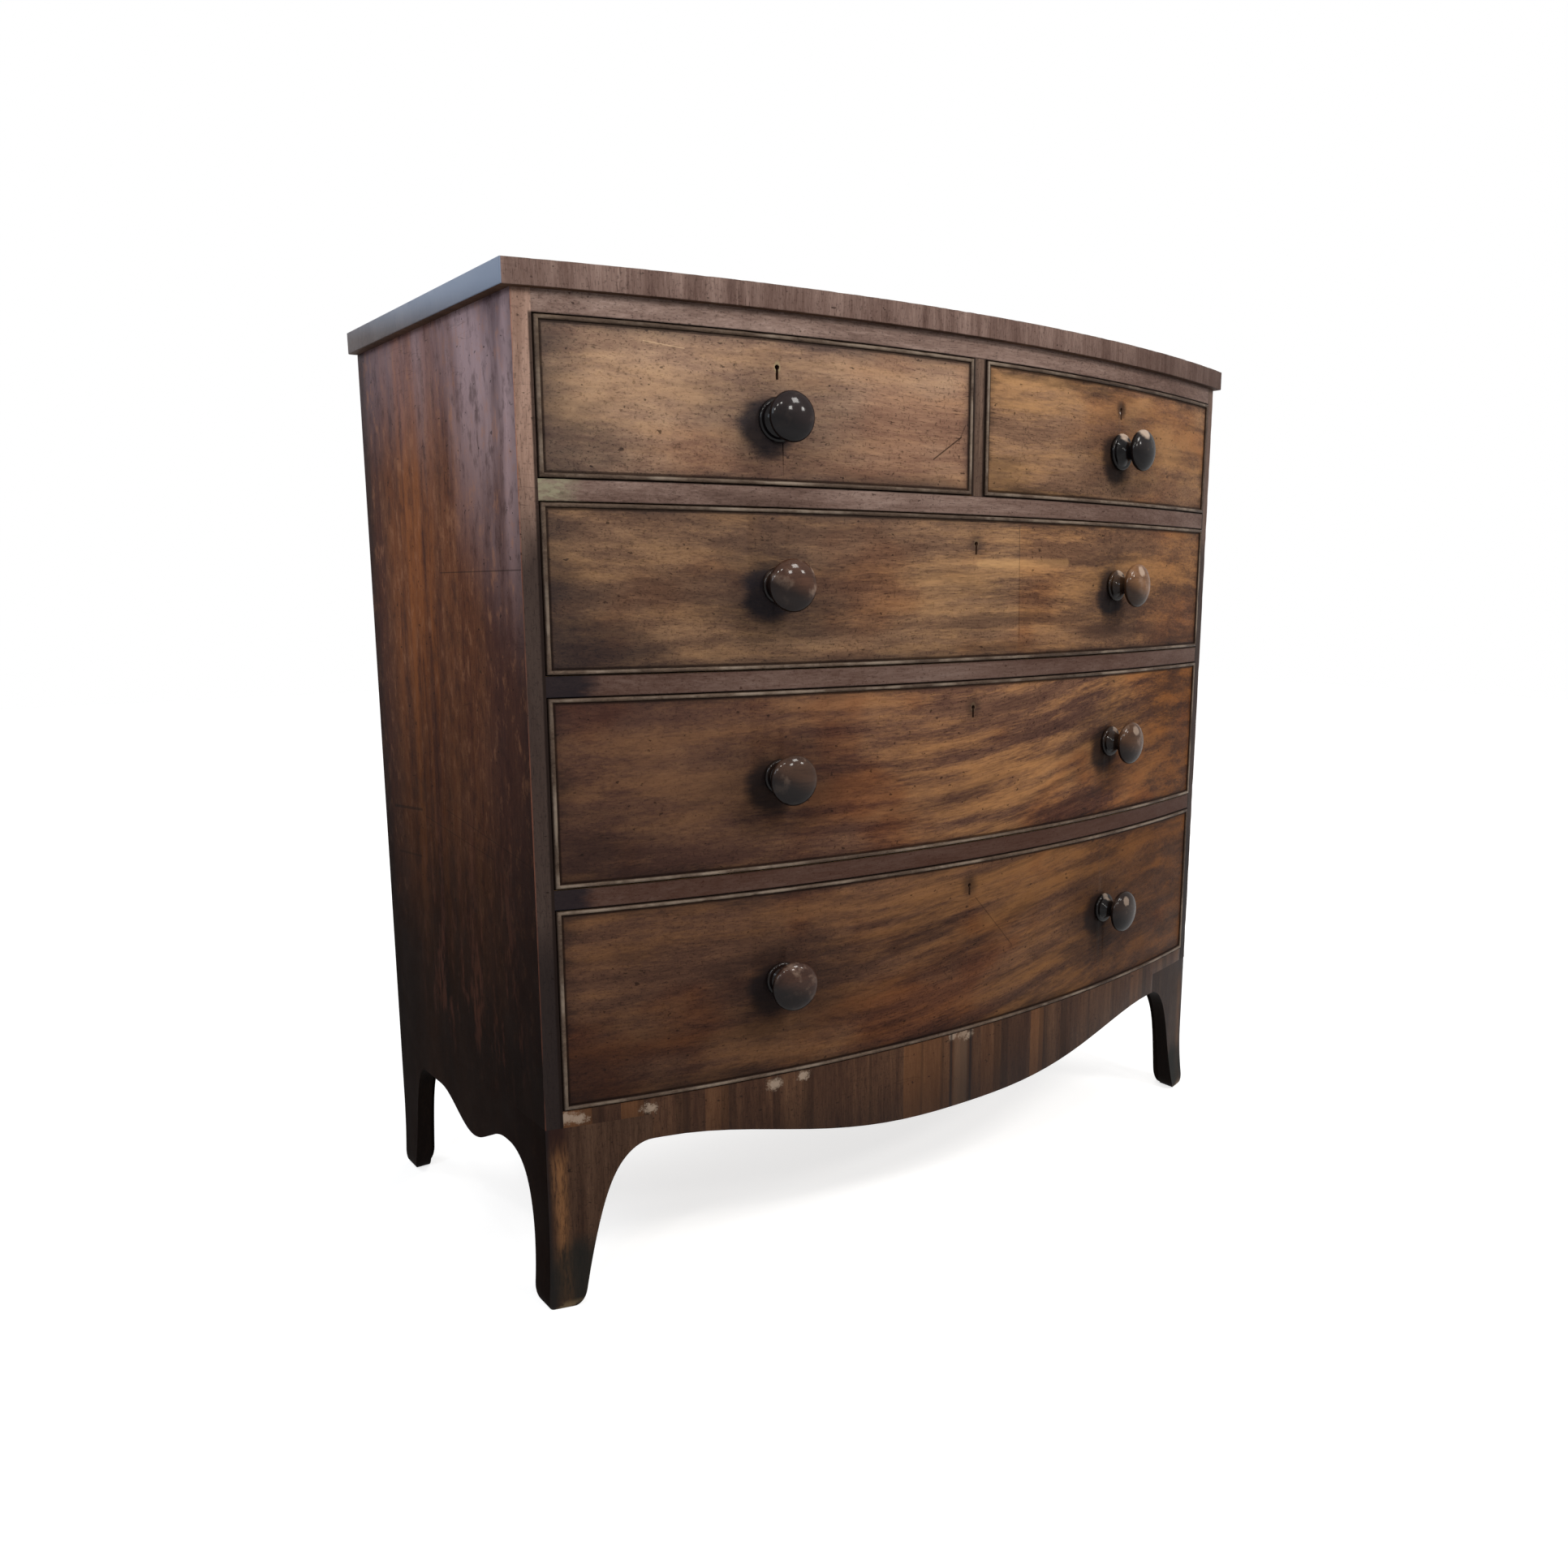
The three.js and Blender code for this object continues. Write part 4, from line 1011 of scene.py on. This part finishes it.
def make_cockbead(drawer, material):
    front_low, front_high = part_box(drawer + "_front")
    radius = BEAD_WIDTH / 2
    section = [(0.0, SEAT_GAP - BEAD_DEPTH), (BEAD_WIDTH, SEAT_GAP - BEAD_DEPTH)]
    for turn in steps(0, math.pi, 8):
        section.append((radius + radius * math.cos(turn), BEAD_PROUD - radius + radius * math.sin(turn)))
    wide = math.ceil((front_high.x - front_low.x) / BOW_STEP)
    tall = math.ceil((front_high.z - front_low.z) / BOW_STEP)
    depth, pitch = BEAD_WEAR
    rows = []
    for across, proud in section:
        low_x, high_x = front_low.x + across, front_high.x - across
        low_z, high_z = front_low.z + across, front_high.z - across
        across_x, up = steps(low_x, high_x, wide), steps(low_z, high_z, tall)
        ring = [(x, low_z) for x in across_x] + [(high_x, z) for z in up[1:-1]]
        ring += [(x, high_z) for x in reversed(across_x)] + [(low_x, z) for z in reversed(up[1:-1])]
        row = []
        for x, z in ring:
            worn = max(0, noise.noise(Vector((x, 0.3, z)) / pitch) - 0.1) * depth
            out = proud - worn if proud > 0 else proud
            row.append(Vector((x, bow_y(x, -out), z)))
        rows.append(row)
    made = skin(rows, True)
    add_piece(drawer + "_cockbead_rounded", made, drawer, [material], [drawer + "_cockbead"])


def make_front(drawer, material):
    node = drawer + "_front"
    made = bowed(node)
    round_edges(made, on_bow, FRONT_ROUND)
    for face in made.faces:
        depth = bow_depth(face.calc_center_median())
        if depth > FRONT_THICKNESS + 2 * TOUCH:
            face.material_index = 2
        elif depth > SKIN_DEPTH:
            face.material_index = 1
    add_piece(node + "_veneered", made, drawer, [material, raw_wood, iron], [node])


def make_lock_screws(drawer):
    """Four slotted screw heads on the inner face of the lock case."""
    x = lock_place(drawer)
    seat = seat_on_bow(x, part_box(drawer + "_front")[1].z - LOCK_CASE_INSET)
    face = FRONT_THICKNESS + LOCK_CASE_DEPTH
    made = bmesh.new()
    for side in (-1, 1):
        across = side * (LOCK_CASE_WIDTH / 2 - SCREW_INSET)
        for drop in (SCREW_INSET, LOCK_CASE_HEIGHT - SCREW_INSET):
            add_screw(made, seat, (across, face, -drop), 0.6 * side + drop * 30)
    add_piece(drawer + "_lock_screws", made, drawer, [iron], [])


def add_screw(made, seat, centre, turn):
    """A domed head with a slot across it, its profile swept round and split at the slot."""
    x, face, z = centre
    slot = SCREW_SLOT / 2
    reach = math.acos(slot / SCREW_RADIUS)
    for side in (-1, 1):
        middle = side * math.pi / 2
        rings = []
        for share, proud in SCREW_DOME:
            ring = []
            for angle in steps(middle - reach, middle + reach, SCREW_STEPS):
                along = math.cos(angle) * SCREW_RADIUS * share
                off = side * max(abs(math.sin(angle)) * SCREW_RADIUS * share, slot)
                ring.append(seat @ Vector((x + along * math.cos(turn) - off * math.sin(turn), face + proud,
                                           z + along * math.sin(turn) + off * math.cos(turn))))
            rings.append(ring)
        skin(rings, False, made)


# Knobs: dark and light tone, share of rubbed spots, and a pale patch with its place, radius and strength
KNOB_LOOKS = {
    "upper_left_drawer_knob": ((20, 14, 14), (42, 32, 32), 0.15, ((-0.246, 0.9415), 8 * MM, 0.8)),
    "upper_right_drawer_knob": ((18, 15, 15), (38, 32, 31), 0.3, ((0.262, 0.941), 11 * MM, 0.75)),
    "second_drawer_left_knob": ((44, 27, 20), (88, 60, 46), 0.6, ((-0.244, 0.770), 6 * MM, 0.5)),
    "second_drawer_right_knob": ((86, 58, 38), (140, 100, 68), 0.4, ((0.266, 0.772), 8 * MM, 0.6)),
    "third_drawer_left_knob": ((38, 25, 19), (74, 52, 40), 0.6, None),
    "third_drawer_right_knob": ((48, 31, 21), (90, 62, 43), 0.5, ((0.268, 0.571), 7 * MM, 0.4)),
    "bottom_drawer_left_knob": ((36, 22, 17), (70, 46, 36), 0.5, None),
    "bottom_drawer_right_knob": ((26, 19, 17), (50, 37, 31), 0.3, ((0.262, 0.346), 6 * MM, 0.4)),
}


def set_material(node, material):
    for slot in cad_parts[node].material_slots:
        slot.material = material


def make_drawers():
    for index, drawer in enumerate(DRAWERS):
        make_front(drawer, show_front(drawer, FRONT_LOOKS[drawer], 23.0 + 3.7 * index))
        make_cockbead(drawer, bead_wood)
        make_lock_screws(drawer)
        for place, (node, x) in enumerate(knobs_of(drawer)):
            seed = 41.0 + index * 2 + place
            material = knob_material(node + "_wood", knob_centre(node, x), seed, *KNOB_LOOKS[node])
            make_knob(node, x, drawer, material)
        for part, material in (("left_side", lining_y), ("right_side", lining_y), ("back", lining_x),
                               ("bottom", lining_x), ("lock_bolt", iron)):
            set_material(drawer + "_" + part, material)


make_drawers()


# Carcase
def paint(made, pick):
    """Gives each face the material that pick chooses from its outward direction and its middle."""
    made.normal_update()
    for face in made.faces:
        face.material_index = pick(face.normal, face.calc_center_median())


def make_top_board():
    made = bowed("top_board", TOP_STEP)
    low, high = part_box("top_board")
    side = lambda edge: all(abs(abs(vert.co.x) - high.x) < TOUCH for vert in edge.verts)
    round_edges(made, lambda edge: on_bow(edge, -TOP_OVERHANG) or side(edge), TOP_ROUND, 3)
    near = lambda co: co.z > high.z - TOP_ARRIS_REACH or co.z < low.z + ARRIS_REACH
    wear(made, near, *TOP_WEAR, 1)
    paint(made, lambda normal, _: 0 if normal.z > 0.8 else 2 if normal.z < -0.8 or normal.y > 0.8 else 1)
    add_carcass_piece("top_board", "_worn", made, [top_wood, top_edge_wood, raw_wood])


def make_side(node):
    made = cad_copy(node)
    low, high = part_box(node)
    slice_mesh(made, 2, slice_places(low.z, high.z, SIDE_STEP))
    outer = max(abs(low.x), abs(high.x))
    front = low.y + ARRIS_REACH
    at_arris = lambda co: abs(abs(co.x) - outer) < TOUCH and co.y < front
    round_edges(made, lambda edge: all(at_arris(vert.co) for vert in edge.verts), SIDE_ROUND, 3)
    wear(made, lambda co: abs(co.x) > outer - ARRIS_REACH and co.y < front + ARRIS_REACH, *SIDE_WEAR, 2)
    paint(made, lambda normal, middle: 1 if normal.y < -0.5
          else 0 if abs(middle.x) > outer - SIDE_SKIN else 2)
    add_carcass_piece(node, "_worn", made, [side_wood, stile_wood, raw_wood])


def make_rail(node, material):
    made = bowed(node)
    round_edges(made, on_bow, RAIL_ROUND)
    paint(made, lambda normal, middle: 0 if normal.y < -0.3
          and middle.y - bow_y(middle.x) < SKIN_DEPTH else 1)
    inside = raw_wood if node in ("top_rail", "front_apron") else lining_y
    add_carcass_piece(node, "_worn", made, [material, inside])


def toe_round(z, depth):
    share = min(z / TOE_ROUND_HEIGHT, 1)
    return depth * (1 - math.sqrt(1 - (1 - share) ** 2))


def foot_width(z, arch, face):
    toe, taper, sweep = face
    share = min(z / arch, 1)
    width = toe + taper * share + sweep * (1 - math.sqrt(1 - share ** SWEEP_POWER))
    return width - toe_round(z, TOE_ROUND_INSIDE)


def foot_proud(z, splay):
    return splay * max(1 - z / SPLAY_HEIGHT, 0) ** 2 - toe_round(z, TOE_ROUND_OUTSIDE)


def foot_levels(arches):
    """Heights of the rows of a foot, closer together at the toe and where the arches close."""
    levels = [TOE_ROUND_HEIGHT * (1 - math.cos(turn)) for turn in quarter(8)]
    levels += steps(0, FOOT_TOP, 30)[3:]
    for arch in arches:
        levels += [arch * (1 - ARCH_SHARE * (1 - math.sin(turn))) for turn in quarter(10)]
    return sorted({round(level, 6) for level in levels})


def mirrored(rows, right):
    return [[Vector((-co.x if right else co.x, co.y, co.z)) for co in row] for row in rows]


# Faces that are neither front nor outer side take the near-black painted shade
def paint_foot(made):
    paint(made, lambda normal, middle: 0 if normal.y < -0.5 and middle.y < CORNER_Y + FOOT_FRONT_SKIN
          else 1 if abs(normal.x) > 0.7 and abs(middle.x) > HALF_WIDTH - FOOT_SIDE_SKIN else 2)


def make_front_foot(node, right):
    rows = []
    for z in foot_levels([SIDE_ARCH, FRONT_ARCH]):
        proud = foot_proud(z, FRONT_SPLAY)
        inner = foot_width(z, FRONT_ARCH, FRONT_FACE) - HALF_WIDTH
        back = foot_width(z, SIDE_ARCH, FRONT_SIDE_FACE) + CORNER_Y
        outer = -HALF_WIDTH - proud
        inner_corner = bow_y(INNER_HALF, APRON_THICKNESS)
        fill_x = (inner + INNER_HALF) * CORNER_FILL_SHARE
        fill_y = (back - inner_corner) * CORNER_FILL_SHARE
        row = [Vector((outer, bow_y(outer, -proud) + FOOT_CORNER * 1.2, z))]
        for turn in quarter(3)[1:-1]:
            x = outer + FOOT_CORNER * (1 - math.cos(turn))
            row.append(Vector((x, bow_y(x, -proud) + FOOT_CORNER * (1 - math.sin(turn)), z)))
        row += [Vector((x, bow_y(x, -proud), z)) for x in steps(outer + FOOT_CORNER, inner, 14)]
        row += [Vector((inner, bow_y(inner, APRON_THICKNESS), z)),
                Vector((fill_x - INNER_HALF, bow_y(fill_x - INNER_HALF, APRON_THICKNESS), z)),
                Vector((-INNER_HALF, inner_corner + min(fill_x, fill_y), z)),
                Vector((-INNER_HALF, back, z)), Vector((outer, back, z))]
        rows.append(row)
    made = skin(mirrored(rows, right), False)
    paint_foot(made)
    add_carcass_piece(node, "_shaped", made, [foot_wood, side_wood, foot_shaded_wood])


def make_rear_foot(node, right):
    rows = []
    for z in foot_levels([SIDE_ARCH]):
        outer = -HALF_WIDTH - foot_proud(z, REAR_SPLAY)
        inner = foot_width(z, SIDE_ARCH, REAR_FACE) - HALF_WIDTH
        front = BACK_Y - foot_width(z, SIDE_ARCH, REAR_SIDE_FACE)
        inner_corner = BACK_Y - SIDE_THICKNESS
        fill = min(inner + INNER_HALF, inner_corner - front) * CORNER_FILL_SHARE
        rows.append([Vector((x, y, z)) for x, y in (
            (outer, front), (-INNER_HALF, front), (-INNER_HALF, inner_corner - fill),
            (fill - INNER_HALF, inner_corner), (inner, inner_corner), (inner, BACK_Y), (outer, BACK_Y))])
    made = skin(mirrored(rows, right), False)
    paint_foot(made)
    add_carcass_piece(node, "_shaped", made, [foot_wood, side_wood, foot_shaded_wood])


def make_side_apron(node, right):
    front = CORNER_Y + sum(FRONT_SIDE_FACE)
    back = BACK_Y - sum(REAR_SIDE_FACE)
    centre = (CORNER_Y + BACK_Y) / 2 - SIDE_LOBE_OFFSET
    lower = [(back, SIDE_ARCH)] if back > centre + SIDE_LOBE_HALF else []
    lobe = []
    for share in steps(-1, 1, 32):
        drop = SIDE_LOBE_DROP * (1 + math.cos(math.pi * share)) / 2
        lobe.append((centre + SIDE_LOBE_HALF * share, SIDE_ARCH - drop))
    shape = [(front, FOOT_TOP), (front, SIDE_ARCH), *lobe, *lower, (back, FOOT_TOP)]
    rows = [[Vector((x, y, z)) for y, z in shape] for x in (-HALF_WIDTH, -INNER_HALF)]
    add_carcass_piece(node, "_shaped", skin(mirrored(rows, right), False), [side_wood])


make_top_board()
for side_node in ("left_side", "right_side"):
    make_side(side_node)
for rail_node in ("top_rail", "upper_divider", "middle_divider", "lower_divider"):
    make_rail(rail_node, rail_wood)
make_rail("muntin", muntin_wood)
make_rail("front_apron", apron_wood)
for hand, is_right in (("left", False), ("right", True)):
    make_front_foot(hand + "_front_foot", is_right)
    make_rear_foot(hand + "_rear_foot", is_right)
    make_side_apron(hand + "_apron", is_right)
set_material("bottom_board", lining_x)
set_material("back_board", back_wood)


# Pale floor and plain soft light; each lamp has a place, a target, a size, a power and a colour
FLOOR_HALF = 8
FLOOR_TONE = 0.5
FLOOR_REACH = (1.0, 4.0)
FLOOR_GLOW = (0.72, 0.99)
AMBIENT = 0.26
WHITE = (1, 1, 1, 1)
WARM = (1.0, 0.97, 0.93)
LAMPS = {
    "key": ((0.6, -2.2, 2.5), (0, -0.1, 0.8), 0.62, 38, WARM),
    "front_left": ((0.0, -2.45, 1.75), (0, -0.1, 0.7), 0.26, 9, WARM),
    "front_right": ((1.2, -2.3, 1.75), (0, -0.1, 0.7), 0.26, 9, WARM),
    "window": ((-2.3, -0.7, 1.7), (-0.3, -0.2, 0.8), 0.7, 12, (0.78, 0.88, 1.0)),
    "fill": ((1.8, 1.8, 2.2), (0.2, 0.1, 0.6), 1.4, 40, (1.0, 0.98, 0.96)),
    "back_fill": ((-1.6, 2.2, 1.8), (0, 0.2, 0.5), 1.4, 24, (0.94, 0.97, 1.0)),
    "ceiling_0": ((-1.3, -1.5, 2.0), (0, -0.1, 0.7), 0.16, 5, (1.0, 0.97, 0.92)),
    "ceiling_1": ((-0.9, -1.9, 2.2), (0, -0.1, 0.7), 0.16, 5, (1.0, 0.97, 0.92)),
    "ceiling_2": ((-1.8, -1.3, 1.7), (0, -0.1, 0.7), 0.16, 5, (1.0, 0.97, 0.92)),
}


def add_floor():
    """A floor that glows faintly to the camera and in reflections, more so far from the chest."""
    mesh = bpy.data.meshes.new("floor")
    corners = [(x * FLOOR_HALF, y * FLOOR_HALF, 0) for x, y in ((-1, -1), (1, -1), (1, 1), (-1, 1))]
    mesh.from_pydata(corners, [], [(0, 1, 2, 3)])
    floor = add_object("floor", mesh)
    s = new_material("floor")
    rays = s.node("LightPath").outputs
    seen = s.most(rays["Is Camera Ray"], rays["Is Glossy Ray"])
    glow = s.times(s.level(s.length(s.place), *FLOOR_REACH, *FLOOR_GLOW), seen)
    mesh.materials.append(s.finish({
        "Base Color": (FLOOR_TONE, FLOOR_TONE, FLOOR_TONE, 1), "Roughness": 0.9, "Specular IOR Level": 0.1,
        "Emission Color": WHITE, "Emission Strength": glow}))


def add_world():
    """White to the camera, in reflections and through glass, and dimmer as light on the chest."""
    scene.world = bpy.data.worlds.new("room")
    s = Shader(scene.world, "Background")
    rays = s.node("LightPath").outputs
    seen = s.most(s.most(rays["Is Camera Ray"], rays["Is Glossy Ray"]), rays["Is Transmission Ray"])
    s.finish({"Color": WHITE, "Strength": s.level(seen, 0.0, 1.0, AMBIENT, 1.0)})


def add_lamp(name, place, target, size, power, color):
    lamp = bpy.data.lights.new(name, "AREA")
    lamp.size = size
    lamp.energy = power
    lamp.color = color
    holder = add_object(name, lamp)
    holder.location = place
    holder.rotation_euler = (Vector(target) - Vector(place)).to_track_quat("-Z", "Y").to_euler()


add_floor()
add_world()
for lamp_name, lamp_values in LAMPS.items():
    add_lamp(lamp_name, *lamp_values)

scene.view_settings.view_transform = "Standard"
